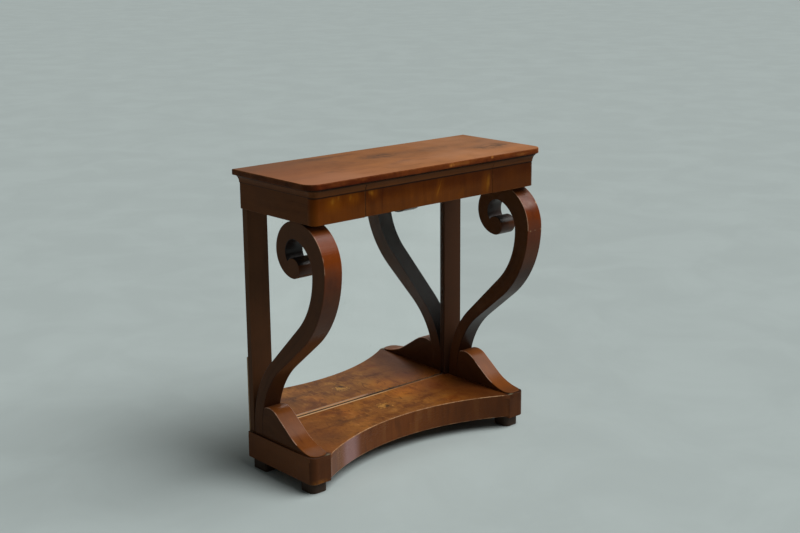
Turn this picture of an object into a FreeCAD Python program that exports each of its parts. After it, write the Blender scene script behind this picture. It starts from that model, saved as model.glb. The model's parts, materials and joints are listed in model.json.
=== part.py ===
import FreeCAD, Part
import math
import os
import re
import Sketcher
from FreeCAD import Vector

# Pier table with a mirrored back and two volute scrolls, in millimetres.
# +Z is up, +X is to the right, -Y is the front. The origin lies on the floor, under the middle.
# Depths are measured forward from the back plane of the posts and the top.

# Driving dimensions
SIZES = {
    "table_height": 850.0,
    "cut_overrun": 1.0,
    "joint_clearance": 0.15,
    # Top board
    "top_width": 850.0,
    "top_depth": 334.0,
    "top_thickness": 16.0,
    "top_corner_radius": 37.0,
    "top_arris_radius": 2.5,
    "top_side_overhang": 23.0,
    "top_front_overhang": 15.5,
    # Frieze
    "frieze_height": 94.0,
    "frieze_corner_radius": 17.0,
    "frieze_board": 22.0,
    "frieze_front_board": 24.0,
    "back_rail_margin": 2.0,
    "soffit_thickness": 12.0,
    "glue_block": 24.0,
    "glue_block_length": 60.0,
    # Cove moulding under the top
    "cove_height": 23.0,
    "cove_projection": 11.0,
    "cove_band": 3.0,
    "cove_quirk": 1.5,
    # Drawer and what carries it
    "drawer_width": 466.0,
    "drawer_clearance": 0.6,
    "drawer_lip": 1.0,
    "running_clearance": 0.3,
    "drawer_front_thickness": 20.0,
    "drawer_side_thickness": 10.0,
    "drawer_back_thickness": 10.0,
    "drawer_back_drop": 5.0,
    "drawer_bottom_thickness": 6.0,
    "drawer_bottom_rise": 8.0,
    "drawer_groove_depth": 4.0,
    "dovetail_length": 12.0,
    "dovetail_flare": 2.0,
    "partition_thickness": 14.0,
    "runner_width": 12.0,
    "runner_height": 12.0,
    "kicker_height": 12.0,
    "stop_length": 8.0,
    "stop_width": 26.0,
    "stop_height": 20.0,
    # Back posts, mirror and boards
    "post_width": 67.0,
    "post_depth": 20.0,
    "post_inset": 5.0,
    "tenon_width": 30.0,
    "tenon_length": 12.0,
    "mirror_thickness": 4.0,
    "mirror_lap": 8.0,
    "mirror_clearance": 0.5,
    "backing_thickness": 6.0,
    "backing_lap": 25.0,
    "back_panel_thickness": 5.0,
    "back_panel_rise": 28.5,
    "back_panel_reach": 213.5,
    "nail_width": 2.4,
    "nail_grip": 9.0,
    # Scroll supports
    "scroll_width": 57.0,
    "scroll_inset": 3.0,
    "scroll_overhang": 35.5,
    "scroll_seat": 1.5,
    "crown_radius": 118.0,
    "volute_back_radius": 85.0,
    "volute_low_radius": 70.0,
    "volute_back_thickness": 40.0,
    "belly_thickness": 52.0,
    "belly_inner_drop": 14.0,
    "scroll_foot_gap": 6.0,
    "scroll_foot_thickness": 36.0,
    "scroll_foot_rise": 24.0,
    "dowel_diameter": 12.0,
    "dowel_grip": 24.0,
    # Ogee brackets in front of the scrolls' feet
    "bracket_height": 91.0,
    "bracket_heel_drop": 6.0,
    "bracket_hump_radius": 56.0,
    "bracket_tip_inset": 4.0,
    "bracket_tip_height": 3.5,
    "bracket_corner_radius": 22.0,
    "bracket_clearance": 0.2,
    # Plinth
    "plinth_margin": 3.0,
    "plinth_setback": 28.5,
    "plinth_height": 75.0,
    "plinth_bay": 91.5,
    "plinth_front_rise": 7.0,
    "plinth_block_width": 63.0,
    "plinth_block_depth": 76.0,
    "plinth_corner_radius": 20.0,
    "plinth_top_thickness": 12.0,
    "plinth_board": 22.0,
    "plinth_back_block": 44.0,
    # Feet
    "foot_height": 31.5,
    "foot_width": 54.0,
    "foot_depth": 58.0,
    "foot_inset": 9.0,
    "foot_front_inset": 13.0,
    "foot_back_inset": 8.0,
    "foot_corner_radius": 18.0,
    "screw_diameter": 5.0,
    "screw_head_diameter": 10.0,
    "screw_head_height": 3.0,
    "screw_recess": 6.0,
    "screw_grip": 26.0,
}

# Radii of the scrolls and brackets, dovetails and tenons as shares of the room that they have
SHARES = {
    "belly_sweep_share": 0.512,
    "foot_sweep_share": 0.436,
    "belly_inner_share": 0.788,
    "hook_front_share": 0.766,
    "hook_back_share": 0.342,
    "volute_roll_share": 0.804,
    "bracket_hollow_share": 0.85,
    "dovetail_share": 0.565,
    "tenon_share": 0.7,
}

# Places worked out from the driving dimensions
PLACES = {
    "frieze_reach": "top_depth - top_front_overhang",
    "scroll_reach": "frieze_reach + scroll_overhang",
    "plinth_reach": "frieze_reach - plinth_setback",
    "back_y": "(scroll_reach - back_panel_thickness) / 2",
    "frieze_top": "table_height - top_thickness",
    "frieze_bottom": "frieze_top - frieze_height",
    "frieze_half": "top_width / 2 - top_side_overhang",
    "frieze_inner_half": "frieze_half - frieze_board",
    "frieze_inner_reach": "frieze_reach - frieze_front_board",
    "back_rail_reach": "post_depth + back_rail_margin",
    "cove_bottom": "frieze_top - cove_height",
    "cove_flare": "cove_projection - cove_quirk",
    "cove_rise": "cove_height - cove_band",
    "cove_radius": "(cove_flare ^ 2 + cove_rise ^ 2) / (2 * cove_flare)",
    "drawer_half": "drawer_width / 2",
    "drawer_outer": "drawer_half - drawer_clearance",
    "drawer_inner": "drawer_outer - drawer_side_thickness",
    "drawer_front_bottom": "frieze_bottom + drawer_lip",
    "drawer_front_top": "frieze_top - drawer_lip",
    "drawer_front_rear": "frieze_reach - drawer_front_thickness",
    "drawer_rear": "back_rail_reach + stop_length + running_clearance",
    "drawer_box_bottom": "frieze_bottom + runner_height + running_clearance",
    "drawer_box_top": "frieze_top - kicker_height - drawer_clearance",
    "dovetail_pitch": "(drawer_box_top - drawer_box_bottom) / 3",
    "dovetail_height": "dovetail_share * dovetail_pitch",
    "drawer_bottom_under": "drawer_box_bottom + drawer_bottom_rise",
    "drawer_bottom_over": "drawer_bottom_under + drawer_bottom_thickness",
    "drawer_groove_half": "drawer_inner + drawer_groove_depth",
    "drawer_groove_front": "drawer_front_rear + drawer_groove_depth",
    "plinth_bottom": "foot_height",
    "plinth_top_face": "plinth_bottom + plinth_height",
    "plinth_under": "plinth_top_face - plinth_top_thickness",
    "plinth_half": "frieze_half + plinth_margin",
    "plinth_bay_half": "plinth_half - plinth_block_width",
    "plinth_bay_floor": "plinth_reach - plinth_bay",
    "plinth_bay_radius": "(plinth_bay_half ^ 2 + plinth_bay ^ 2) / (2 * plinth_bay)",
    "plinth_bay_centre": "plinth_bay_floor + plinth_bay_radius",
    "plinth_band_radius": "plinth_bay_radius + plinth_board",
    "plinth_band_end": "plinth_bay_centre - sqrt(plinth_band_radius ^ 2 - plinth_bay_half ^ 2)",
    "plinth_inner_half": "plinth_half - plinth_board",
    "plinth_block_rear": "plinth_reach - plinth_block_depth",
    "post_outer": "frieze_half - post_inset",
    "post_inner": "post_outer - post_width",
    "tenon_middle": "(post_inner + frieze_inner_half) / 2",
    "mirror_half": "post_inner + mirror_lap",
    "mirror_face": "backing_thickness + mirror_thickness",
    "mirror_top": "frieze_bottom - mirror_clearance",
    "mirror_middle": "(plinth_top_face + mirror_top) / 2",
    "backing_half": "post_inner + backing_lap",
    "back_panel_bottom": "plinth_bottom + back_panel_rise",
    "back_panel_top": "plinth_top_face + back_panel_reach",
    "tenon_thickness": "tenon_share * (post_depth - mirror_face)",
    "tenon_front": "post_depth - (post_depth - mirror_face - tenon_thickness) / 2",
    "tenon_back": "tenon_front - tenon_thickness",
    "scroll_outer": "frieze_half - scroll_inset",
    "scroll_inner": "scroll_outer - scroll_width",
    "scroll_middle": "(scroll_outer + scroll_inner) / 2",
    "crown_height": "frieze_bottom + scroll_seat",
    "crown_depth": "scroll_reach - crown_radius",
    "belly_height": "crown_height - crown_radius",
    "belly_reach": "scroll_reach - belly_thickness",
    "belly_inner_height": "belly_height - belly_inner_drop",
    "scroll_foot_back": "post_depth + scroll_foot_gap",
    "scroll_foot_depth": "scroll_foot_back + scroll_foot_thickness",
    "foot_sweep_height": "plinth_top_face + scroll_foot_rise",
    "sweep_width": "scroll_reach - scroll_foot_depth",
    "sweep_drop": "belly_height - foot_sweep_height",
    "sweep_limit": "(sweep_width ^ 2 + sweep_drop ^ 2) / (2 * sweep_width)",
    "belly_sweep_radius": "belly_sweep_share * sweep_limit",
    "foot_sweep_radius": "foot_sweep_share * sweep_limit",
    "heel_sweep_radius": "foot_sweep_radius + scroll_foot_thickness",
    "calf_width": "belly_reach - scroll_foot_back",
    "calf_drop": "belly_inner_height - foot_sweep_height",
    "calf_limit": "(calf_width ^ 2 + calf_drop ^ 2) / (2 * calf_width)",
    "belly_inner_radius": "belly_inner_share * (calf_limit - heel_sweep_radius)",
    "volute_back": "crown_depth - volute_back_radius",
    "hook_width": "belly_reach - volute_back - volute_back_thickness",
    "hook_front_radius": "hook_front_share * hook_width",
    "hook_back_radius": "hook_back_share * hook_width",
    "bracket_tip_depth": "plinth_reach - bracket_tip_inset",
    "foot_outer": "plinth_half - foot_inset",
    "foot_front": "plinth_reach - foot_front_inset",
    "foot_inner": "foot_outer - foot_width",
    "foot_screw_x": "foot_outer - foot_width / 2",
}

# Shares of a height or a width where repeated pieces sit
DOVETAIL_SHARES = (1 / 6, 3 / 6, 5 / 6)
BACKING_NAIL_SHARES = (0.06, 0.44, 0.56, 0.94)
PANEL_NAIL_SHARES = (0.35, 0.9)
PLINTH_NAIL_SHARES = (0.3, 0.8)
SIDE_BLOCK_SHARES = (0.35, 0.75)
PLINTH_BLOCK_SHARE = 0.4

doc = FreeCAD.newDocument("pier_table")
nodes = []


# Sheet and expressions
def qualify(text):
    """Put its sheet's name in front of each size or place named in an expression."""
    def with_sheet(match):
        word = match.group(0)
        if word in SIZES:
            return "dims." + word
        if word in SHARES:
            return "shares." + word
        if word in PLACES:
            return "places." + word
        return word
    return re.sub(r"[a-z_]+", with_sheet, text)


def add_sheet(name, rows):
    sheet = doc.addObject("Spreadsheet::Sheet", name)
    for row, (alias, content) in enumerate(rows.items(), 1):
        sheet.set("A%d" % row, alias)
        sheet.set("B%d" % row, content)
        sheet.setAlias("B%d" % row, alias)
    return sheet


dims = add_sheet("dims", {alias: str(size) for alias, size in SIZES.items()})
shares = add_sheet("shares", {alias: str(share) for alias, share in SHARES.items()})
doc.recompute()
places = add_sheet("places", {alias: "=" + qualify(text) for alias, text in PLACES.items()})
doc.recompute()
reckoner = doc.addObject("Spreadsheet::Sheet", "reckoner")


def value(text):
    """The number that an expression in sizes and places comes to."""
    reckoner.set("A1", "=" + qualify(text))
    reckoner.recompute()
    return float(reckoner.get("A1"))


def bind(obj, expressions):
    for path, text in expressions.items():
        obj.setExpression(path, qualify(text))


# Building blocks
def both_ways(half):
    """A span as wide to the left as to the right."""
    return "-(%s)" % half, half


def about(middle, width):
    """A span of a given width about its middle."""
    return "%s - %s / 2" % (middle, width), "%s + %s / 2" % (middle, width)


def box(label, x, depth, z):
    """A board that fills three spans: across, forward from the back plane, and up."""
    obj = doc.addObject("Part::Box", label)
    bind(obj, {
        "Length": "%s - (%s)" % (x[1], x[0]),
        "Width": "%s - (%s)" % (depth[1], depth[0]),
        "Height": "%s - (%s)" % (z[1], z[0]),
        "Placement.Base.x": x[0],
        "Placement.Base.y": "back_y - (%s)" % depth[1],
        "Placement.Base.z": z[0],
    })
    return obj


def upright_pin(label, diameter, x, depth, z):
    """A round pin or hole that stands upright."""
    obj = doc.addObject("Part::Cylinder", label)
    bind(obj, {
        "Radius": "(%s) / 2" % diameter,
        "Height": "%s - (%s)" % (z[1], z[0]),
        "Placement.Base.x": x,
        "Placement.Base.y": "back_y - (%s)" % depth,
        "Placement.Base.z": z[0],
    })
    return obj


def cut_nail(label, width, x, depth, z):
    """A square nail, or its hole, driven forward from the back."""
    return box(label, about(x, width), depth, about(z, width))


def compound(label, objects):
    obj = doc.addObject("Part::Compound", label)
    obj.Links = objects
    return obj


def cut(label, base, tools):
    obj = doc.addObject("Part::Cut", label)
    obj.Base = base
    obj.Tool = tools[0] if len(tools) == 1 else compound(label + "_cutters", tools)
    return obj


def fuse(label, objects):
    obj = doc.addObject("Part::MultiFuse", label)
    obj.Shapes = objects
    return obj


def mirrored(label, source):
    """The left-hand twin of a right-hand piece."""
    obj = doc.addObject("Part::Mirroring", label)
    obj.Source = source
    obj.Normal = Vector(1, 0, 0)
    return obj


def keep(obj):
    """Make a finished object one node of the table."""
    nodes.append(obj)
    return obj


def keep_pair(right):
    """Keep a right-hand piece and its twin on the left."""
    keep(right)
    return keep(mirrored(right.Label.replace("_right", "_left"), right))


def new_body(label, z):
    """A body whose own y runs from the back plane and whose own z starts at a height."""
    body = doc.addObject("PartDesign::Body", label)
    bind(body, {"Placement.Base.y": "back_y", "Placement.Base.z": z})
    return body


def draw(body, label, role, corners, arcs=None, closed=True):
    """A sketch of straight sides and arcs; arcs maps a side to its radius and its turn."""
    arcs = arcs or {}
    sketch = body.newObject("Sketcher::SketchObject", label)
    plane = [item for item in body.Origin.OriginFeatures if item.Role == role][0]
    sketch.AttachmentSupport = [(plane, "")]
    sketch.MapMode = "FlatFace"
    points = [Vector(value(across), value(along), 0) for across, along in corners]
    count = len(points) if closed else len(points) - 1
    heads = []
    for side in range(count):
        start = points[side]
        end = points[(side + 1) % len(points)]
        if side in arcs:
            radius, turn = arcs[side]
            sketch.addGeometry(sketch_arc(start, end, value(radius), turn), False)
            heads.append((1, 2) if turn > 0 else (2, 1))
        else:
            sketch.addGeometry(Part.LineSegment(start, end), False)
            heads.append((1, 2))
    for side in range(count if closed else count - 1):
        after = (side + 1) % count
        meeting = (side, heads[side][1], after, heads[after][0])
        sketch.addConstraint(Sketcher.Constraint("Coincident", *meeting))
    for index, (across, along) in enumerate(corners):
        side = min(index, count - 1)
        end = heads[side][0] if index < count else heads[side][1]
        pin(sketch, "DistanceX", (-1, 1, side, end), points[index].x, across)
        pin(sketch, "DistanceY", (-1, 1, side, end), points[index].y, along)
    for side, (radius, turn) in arcs.items():
        pin(sketch, "Radius", (side,), value(radius), radius)
    return sketch


def pin(sketch, kind, places_held, start, text):
    """Hold one distance or radius of a sketch at an expression."""
    index = sketch.addConstraint(Sketcher.Constraint(kind, *places_held, start))
    sketch.setExpression("Constraints[%d]" % index, qualify(text))


def sketch_arc(start, end, radius, turn):
    """The short arc from start to end that turns left (turn 1) or right (turn -1)."""
    chord = end - start
    to_left = Vector(-chord.y, chord.x, 0).normalize()
    centre = (start + end) / 2 + to_left * turn * math.sqrt(radius ** 2 - (chord.Length / 2) ** 2)
    first, last = (start, end) if turn > 0 else (end, start)
    angles = [math.atan2(point.y - centre.y, point.x - centre.x) for point in (first, last)]
    return Part.ArcOfCircle(Part.Circle(centre, Vector(0, 0, 1), radius), *angles)


def pad(body, sketch, length, midplane=False):
    feature = body.newObject("PartDesign::Pad", sketch.Label + "_pad")
    feature.Profile = sketch
    feature.Midplane = midplane
    bind(feature, {"Length": length})
    doc.recompute()
    return feature


def round_edges(body, feature, label, radius, chosen):
    """Round the edges of a feature that a test on the edge chooses."""
    names = ["Edge%d" % number for number, edge in enumerate(feature.Shape.Edges, 1) if chosen(edge)]
    fillet = body.newObject("PartDesign::Fillet", label)
    fillet.Base = (feature, names)
    bind(fillet, {"Radius": radius})
    doc.recompute()
    return fillet


def corner_plan(inner, outer, rear, front, radius):
    """Plan of a right-hand block whose front outer corner is rounded, and its one arc."""
    corners = [
        (inner, "-(%s)" % rear),
        (inner, "-(%s)" % front),
        ("%s - %s" % (outer, radius), "-(%s)" % front),
        (outer, "-(%s - %s)" % (front, radius)),
        (outer, "-(%s)" % rear),
    ]
    return corners, {2: (radius, 1)}


def corner_block(label, plan, z):
    """An upright block of such a plan between two heights."""
    corners, arcs = plan
    body = new_body(label, z[0])
    pad(body, draw(body, label + "_plan", "XY_Plane", corners, arcs), "%s - (%s)" % (z[1], z[0]))
    return body


# Top board with two rounded corners and softened arrises
def build_top():
    body = new_body("table_top", "frieze_top")
    corners = [
        ("-top_width / 2", "0"),
        ("-top_width / 2", "-(top_depth - top_corner_radius)"),
        ("-(top_width / 2 - top_corner_radius)", "-top_depth"),
        ("top_width / 2 - top_corner_radius", "-top_depth"),
        ("top_width / 2", "-(top_depth - top_corner_radius)"),
        ("top_width / 2", "0"),
    ]
    arcs = {1: ("top_corner_radius", 1), 3: ("top_corner_radius", 1)}
    board = pad(body, draw(body, "top_plan", "XY_Plane", corners, arcs), "top_thickness")

    def runs_round_front(edge):
        level = edge.BoundBox.ZLength < edge.Length / 2
        return level and edge.CenterOfMass.y < board.Shape.BoundBox.YMax - edge.BoundBox.YLength / 4

    round_edges(body, board, "top_arris", "top_arris_radius", runs_round_front)
    keep(body)


# Cove moulding: one length round each corner, and one on the drawer
def build_coves():
    body = new_body("cove_right", "cove_bottom")
    path = [
        ("frieze_half", "0"),
        ("frieze_half", "-(frieze_reach - frieze_corner_radius)"),
        ("frieze_half - frieze_corner_radius", "-frieze_reach"),
        ("drawer_half", "-frieze_reach"),
    ]
    spine = draw(body, "cove_path", "XY_Plane", path, {1: ("frieze_corner_radius", -1)}, closed=False)
    corners = [
        ("frieze_half", "0"),
        ("frieze_half + cove_quirk", "0"),
        ("frieze_half + cove_projection", "cove_rise"),
        ("frieze_half + cove_projection", "cove_height"),
        ("frieze_half", "cove_height"),
    ]
    profile = draw(body, "cove_profile", "XZ_Plane", corners, {1: ("cove_radius", -1)})
    doc.recompute()
    pipe = body.newObject("PartDesign::AdditivePipe", "cove_run")
    pipe.Profile = profile
    pipe.Spine = (spine, ["Edge%d" % number for number in range(1, len(path))])
    keep_pair(body)


def build_drawer_cove():
    body = new_body("drawer_cove", "cove_bottom")
    corners = [
        ("-frieze_reach", "0"),
        ("-frieze_reach", "cove_height - drawer_lip"),
        ("-(frieze_reach + cove_projection)", "cove_height - drawer_lip"),
        ("-(frieze_reach + cove_projection)", "cove_rise"),
        ("-(frieze_reach + cove_quirk)", "0"),
    ]
    profile = draw(body, "drawer_cove_profile", "YZ_Plane", corners, {3: ("cove_radius", -1)})
    pad(body, profile, "2 * drawer_outer", midplane=True)
    keep(body)


# Frieze: sides, back rail, front ends, soffits and glue blocks
def build_frieze():
    full = ("frieze_bottom", "frieze_top")
    inside = ("back_rail_reach", "frieze_inner_reach")
    keep_pair(box("frieze_side_right", ("frieze_inner_half", "frieze_half"),
                  ("0", "frieze_inner_reach"), full))
    plan = corner_plan("drawer_half", "frieze_half", "frieze_inner_reach", "frieze_reach",
                       "frieze_corner_radius")
    keep_pair(corner_block("frieze_front_right", plan, full))
    rail = box("back_rail_blank", both_ways("frieze_inner_half"), ("0", "back_rail_reach"), full)
    mortise = box("back_rail_mortise_right", about("tenon_middle", "(tenon_width + 2 * joint_clearance)"),
                  ("tenon_back - joint_clearance", "tenon_front + joint_clearance"),
                  ("frieze_bottom - cut_overrun", "frieze_bottom + tenon_length + joint_clearance"))
    keep(cut("frieze_back_rail", rail, [mortise, mirrored("back_rail_mortise_left", mortise)]))
    board = box("soffit_blank", ("drawer_half + partition_thickness", "frieze_inner_half"), inside,
                ("frieze_bottom", "frieze_bottom + soffit_thickness"))
    keep_pair(cut("frieze_soffit_right", board, [dowel("soffit_hole", CROWN_DOWEL, "2 * joint_clearance")]))
    blocks = []
    for share in SIDE_BLOCK_SHARES:
        middle = "(back_rail_reach + %.2f * (frieze_inner_reach - back_rail_reach))" % share
        blocks.append(box("top_block", ("frieze_inner_half - glue_block", "frieze_inner_half"),
                          about(middle, "glue_block_length"), ("frieze_top - glue_block", "frieze_top")))
    middle = "((drawer_half + partition_thickness + frieze_inner_half) / 2)"
    blocks.append(box("top_block", about(middle, "glue_block_length"),
                      ("frieze_inner_reach - glue_block", "frieze_inner_reach"),
                      ("frieze_top - glue_block", "frieze_top")))
    keep(both_sides("top_glue_blocks", blocks))


def both_sides(label, objects):
    """A group of right-hand pieces and their twins."""
    return compound(label, objects + [mirrored(obj.Label + "_left", obj) for obj in objects])


# Inner walls of the frieze that guide the drawer
def build_drawer_guides():
    inside = ("back_rail_reach", "frieze_inner_reach")
    strip = ("drawer_half - runner_width", "drawer_half")
    keep_pair(box("drawer_partition_right", ("drawer_half", "drawer_half + partition_thickness"), inside,
                  ("frieze_bottom", "frieze_top")))
    keep_pair(box("drawer_runner_right", strip, inside, ("frieze_bottom", "frieze_bottom + runner_height")))
    keep_pair(box("drawer_kicker_right", strip, inside, ("frieze_top - kicker_height", "frieze_top")))
    stop = box("drawer_stop", about("drawer_inner - stop_width", "stop_width"),
               ("back_rail_reach", "back_rail_reach + stop_length"),
               about("(drawer_box_bottom + drawer_box_top) / 2", "stop_height"))
    keep(both_sides("drawer_stops", [stop]))


# Drawer, with lapped dovetails at the front and a bottom board in grooves
def dovetails(label, slack, overrun):
    """The tails of the right-hand drawer side, or with slack the sockets for them."""
    tails = []
    for share in DOVETAIL_SHARES:
        tail = doc.addObject("Part::Wedge", label)
        height = "drawer_box_bottom + %.4f * (drawer_box_top - drawer_box_bottom)" % share
        bind(tail, {
            "Xmin": "0",
            "X2min": "0",
            "Xmax": "drawer_side_thickness + %s + %s" % (slack, overrun),
            "X2max": "drawer_side_thickness + %s + %s" % (slack, overrun),
            "Ymin": "0",
            "Ymax": "dovetail_length + %s" % slack,
            "Zmin": "-(dovetail_height / 2 + dovetail_flare + %s)" % slack,
            "Zmax": "dovetail_height / 2 + dovetail_flare + %s" % slack,
            "Z2min": "-(dovetail_height / 2 + %s)" % slack,
            "Z2max": "dovetail_height / 2 + %s" % slack,
            "Placement.Base.x": "drawer_inner - %s" % slack,
            "Placement.Base.y": "back_y - drawer_front_rear - dovetail_length - %s" % slack,
            "Placement.Base.z": height,
        })
        tails.append(tail)
    return tails


def build_drawer():
    groove = ("drawer_bottom_under", "drawer_bottom_over + 2 * joint_clearance")
    front = box("drawer_front_blank", both_ways("drawer_outer"), ("drawer_front_rear", "frieze_reach"),
                ("drawer_front_bottom", "drawer_front_top"))
    sockets = dovetails("dovetail_socket", "joint_clearance", "cut_overrun")
    sockets += [mirrored(socket.Label + "_left", socket) for socket in sockets]
    front_groove = box("front_groove", both_ways("drawer_groove_half"),
                       ("drawer_front_rear - cut_overrun", "drawer_groove_front"), groove)
    keep(cut("drawer_front", cut("drawer_front_socketed", front, sockets), [front_groove]))
    side = box("drawer_side_blank", ("drawer_inner", "drawer_outer"), ("drawer_rear", "drawer_front_rear"),
               ("drawer_box_bottom", "drawer_box_top"))
    tailed = fuse("drawer_side_tailed", [side] + dovetails("dovetail_tail", "0", "0"))
    groove_run = ("drawer_rear - cut_overrun", "drawer_front_rear + dovetail_length + cut_overrun")
    side_groove = box("side_groove", ("drawer_inner - cut_overrun", "drawer_groove_half"),
                      groove_run, groove)
    keep_pair(cut("drawer_side_right", tailed, [side_groove]))
    keep(box("drawer_back", both_ways("drawer_inner"),
             ("drawer_rear", "drawer_rear + drawer_back_thickness"),
             ("drawer_bottom_over", "drawer_box_top - drawer_back_drop")))
    keep(box("drawer_bottom", both_ways("drawer_groove_half - joint_clearance"),
             ("drawer_rear", "drawer_groove_front - joint_clearance"),
             ("drawer_bottom_under", "drawer_bottom_over")))


# Back posts, mirror plate, boards and nails
def nails(label, width):
    """Nails of the backing boards and of the back panel, right-hand half."""
    pins = []
    for share in BACKING_NAIL_SHARES:
        height = "plinth_top_face + %.2f * (mirror_top - plinth_top_face)" % share
        pins.append(cut_nail(label, width, "(mirror_half + backing_half) / 2",
                             ("0", "backing_thickness + nail_grip"), height))
    for share in PANEL_NAIL_SHARES:
        height = "back_panel_bottom + %.2f * (back_panel_top - back_panel_bottom)" % share
        pins.append(cut_nail(label, width, "(backing_half + post_outer) / 2",
                             ("-back_panel_thickness", "nail_grip"), height))
    for share in PLINTH_NAIL_SHARES:
        height = "(back_panel_bottom + plinth_under) / 2"
        pins.append(cut_nail(label, width, "%.2f * plinth_inner_half" % share,
                             ("-back_panel_thickness", "nail_grip"), height))
    return pins


def build_back():
    holes = both_sides("nail_holes", nails("nail_hole", "(nail_width + 2 * joint_clearance)"))
    body = new_body("post_blank", "plinth_top_face")
    corners = [
        ("backing_half + joint_clearance", "0"),
        ("backing_half + joint_clearance", "-backing_thickness"),
        ("mirror_half + joint_clearance", "-backing_thickness"),
        ("mirror_half + joint_clearance", "-mirror_face"),
        ("post_inner", "-mirror_face"),
        ("post_inner", "-post_depth"),
        ("post_outer", "-post_depth"),
        ("post_outer", "0"),
    ]
    pad(body, draw(body, "post_section", "XY_Plane", corners), "frieze_bottom - plinth_top_face")
    tenon_plan = (about("tenon_middle", "tenon_width"), ("tenon_back", "tenon_front"))
    foot_tenon = box("foot_tenon", *tenon_plan, ("plinth_under", "plinth_top_face"))
    head_tenon = box("head_tenon", *tenon_plan, ("frieze_bottom", "frieze_bottom + tenon_length"))
    post = fuse("post_tenoned", [body, foot_tenon, head_tenon])
    keep_pair(cut("back_post_right", post, [holes]))
    keep(box("mirror_plate", both_ways("mirror_half"), ("backing_thickness", "mirror_face"),
             ("plinth_top_face", "mirror_top")))
    halves = {"lower": ("plinth_top_face", "mirror_middle"), "upper": ("mirror_middle", "mirror_top")}
    for label, z in halves.items():
        board = box("backing_blank", both_ways("backing_half"), ("0", "backing_thickness"), z)
        keep(cut("mirror_backing_" + label, board, [holes]))
    panel = box("panel_blank", both_ways("post_outer"), ("-back_panel_thickness", "0"),
                ("back_panel_bottom", "back_panel_top"))
    keep(cut("lower_back_panel", panel, [holes]))
    keep(both_sides("back_nails", nails("nail", "nail_width")))
    plinth_back = box("plinth_back_blank", both_ways("plinth_inner_half"), ("0", "plinth_board"),
                      ("plinth_bottom", "plinth_under"))
    keep(cut("plinth_back", plinth_back, [holes]))


# Compass work in the side view, where the first number is the depth and the second the height
def point(depth, height):
    return Vector(depth, height, 0)


def toward(centre, radius, degrees):
    turn = math.radians(degrees)
    return centre + Vector(math.cos(turn), math.sin(turn), 0) * radius


def bearing(centre, end):
    return math.degrees(math.atan2(end.y - centre.y, end.x - centre.x))


def crossing(first, first_radius, second, second_radius, side):
    """Where two circles cross, left (side 1) or right (side -1) of the line between their centres."""
    span = (second - first).Length
    along = (span ** 2 + first_radius ** 2 - second_radius ** 2) / (2 * span)
    angle = math.degrees(math.acos(along / first_radius))
    return toward(first, first_radius, bearing(first, second) + side * angle)


def cross_tangent(first, first_radius, second, second_radius):
    """The two ends of the straight line that leaves one circle and joins a circle curved the other way."""
    lean = math.degrees(math.acos((first_radius + second_radius) / (second - first).Length))
    normal = bearing(first, second) + lean
    return toward(first, first_radius, normal), toward(second, second_radius, normal + 180)


class Outline:
    """A closed outline in the side view, drawn with straight lines and arcs from point to point."""

    def __init__(self, start):
        self.here = start
        self.edges = []

    def line(self, end):
        self.edges.append(Part.LineSegment(self.flat(self.here), self.flat(end)).toShape())
        self.here = end

    def arc(self, centre, end, turn):
        """An arc about a centre, turning left (turn 1) or right (turn -1) in the side view."""
        first = bearing(centre, self.here)
        sweep = (turn * (bearing(centre, end) - first)) % 360
        middle = toward(centre, (end - centre).Length, first + turn * sweep / 2)
        self.edges.append(Part.Arc(self.flat(self.here), self.flat(middle), self.flat(end)).toShape())
        self.here = end

    def flat(self, spot):
        return Vector(value("scroll_inner"), value("back_y") - spot.x, spot.y)

    def extruded(self, label):
        """The right-hand solid of this outline, as wide as a scroll."""
        drawing = doc.addObject("Part::Feature", label + "_outline")
        drawing.Shape = Part.Face(Part.Wire(self.edges))
        solid = doc.addObject("Part::Extrusion", label)
        solid.Base = drawing
        solid.DirMode = "Custom"
        solid.Dir = Vector(1, 0, 0)
        solid.Solid = True
        bind(solid, {"LengthFwd": "scroll_width"})
        return solid


# Scroll supports: an S that ends in a volute, drawn from its compass centres
FOOT_DOWEL = ("scroll_middle", "scroll_foot_depth - scroll_foot_thickness / 2",
              ("plinth_under", "plinth_top_face + dowel_grip"))
CROWN_DOWEL = ("(scroll_inner + frieze_inner_half) / 2", "crown_depth",
               ("frieze_bottom - dowel_grip", "frieze_bottom + soffit_thickness"))


def dowel(label, place, slack="0"):
    """A dowel of the right-hand scroll, or with slack the hole for it."""
    return upright_pin(label, "dowel_diameter + %s" % slack, *place)


def foot_sweep_centre():
    return point(value("scroll_foot_depth + foot_sweep_radius"), value("foot_sweep_height"))


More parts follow.
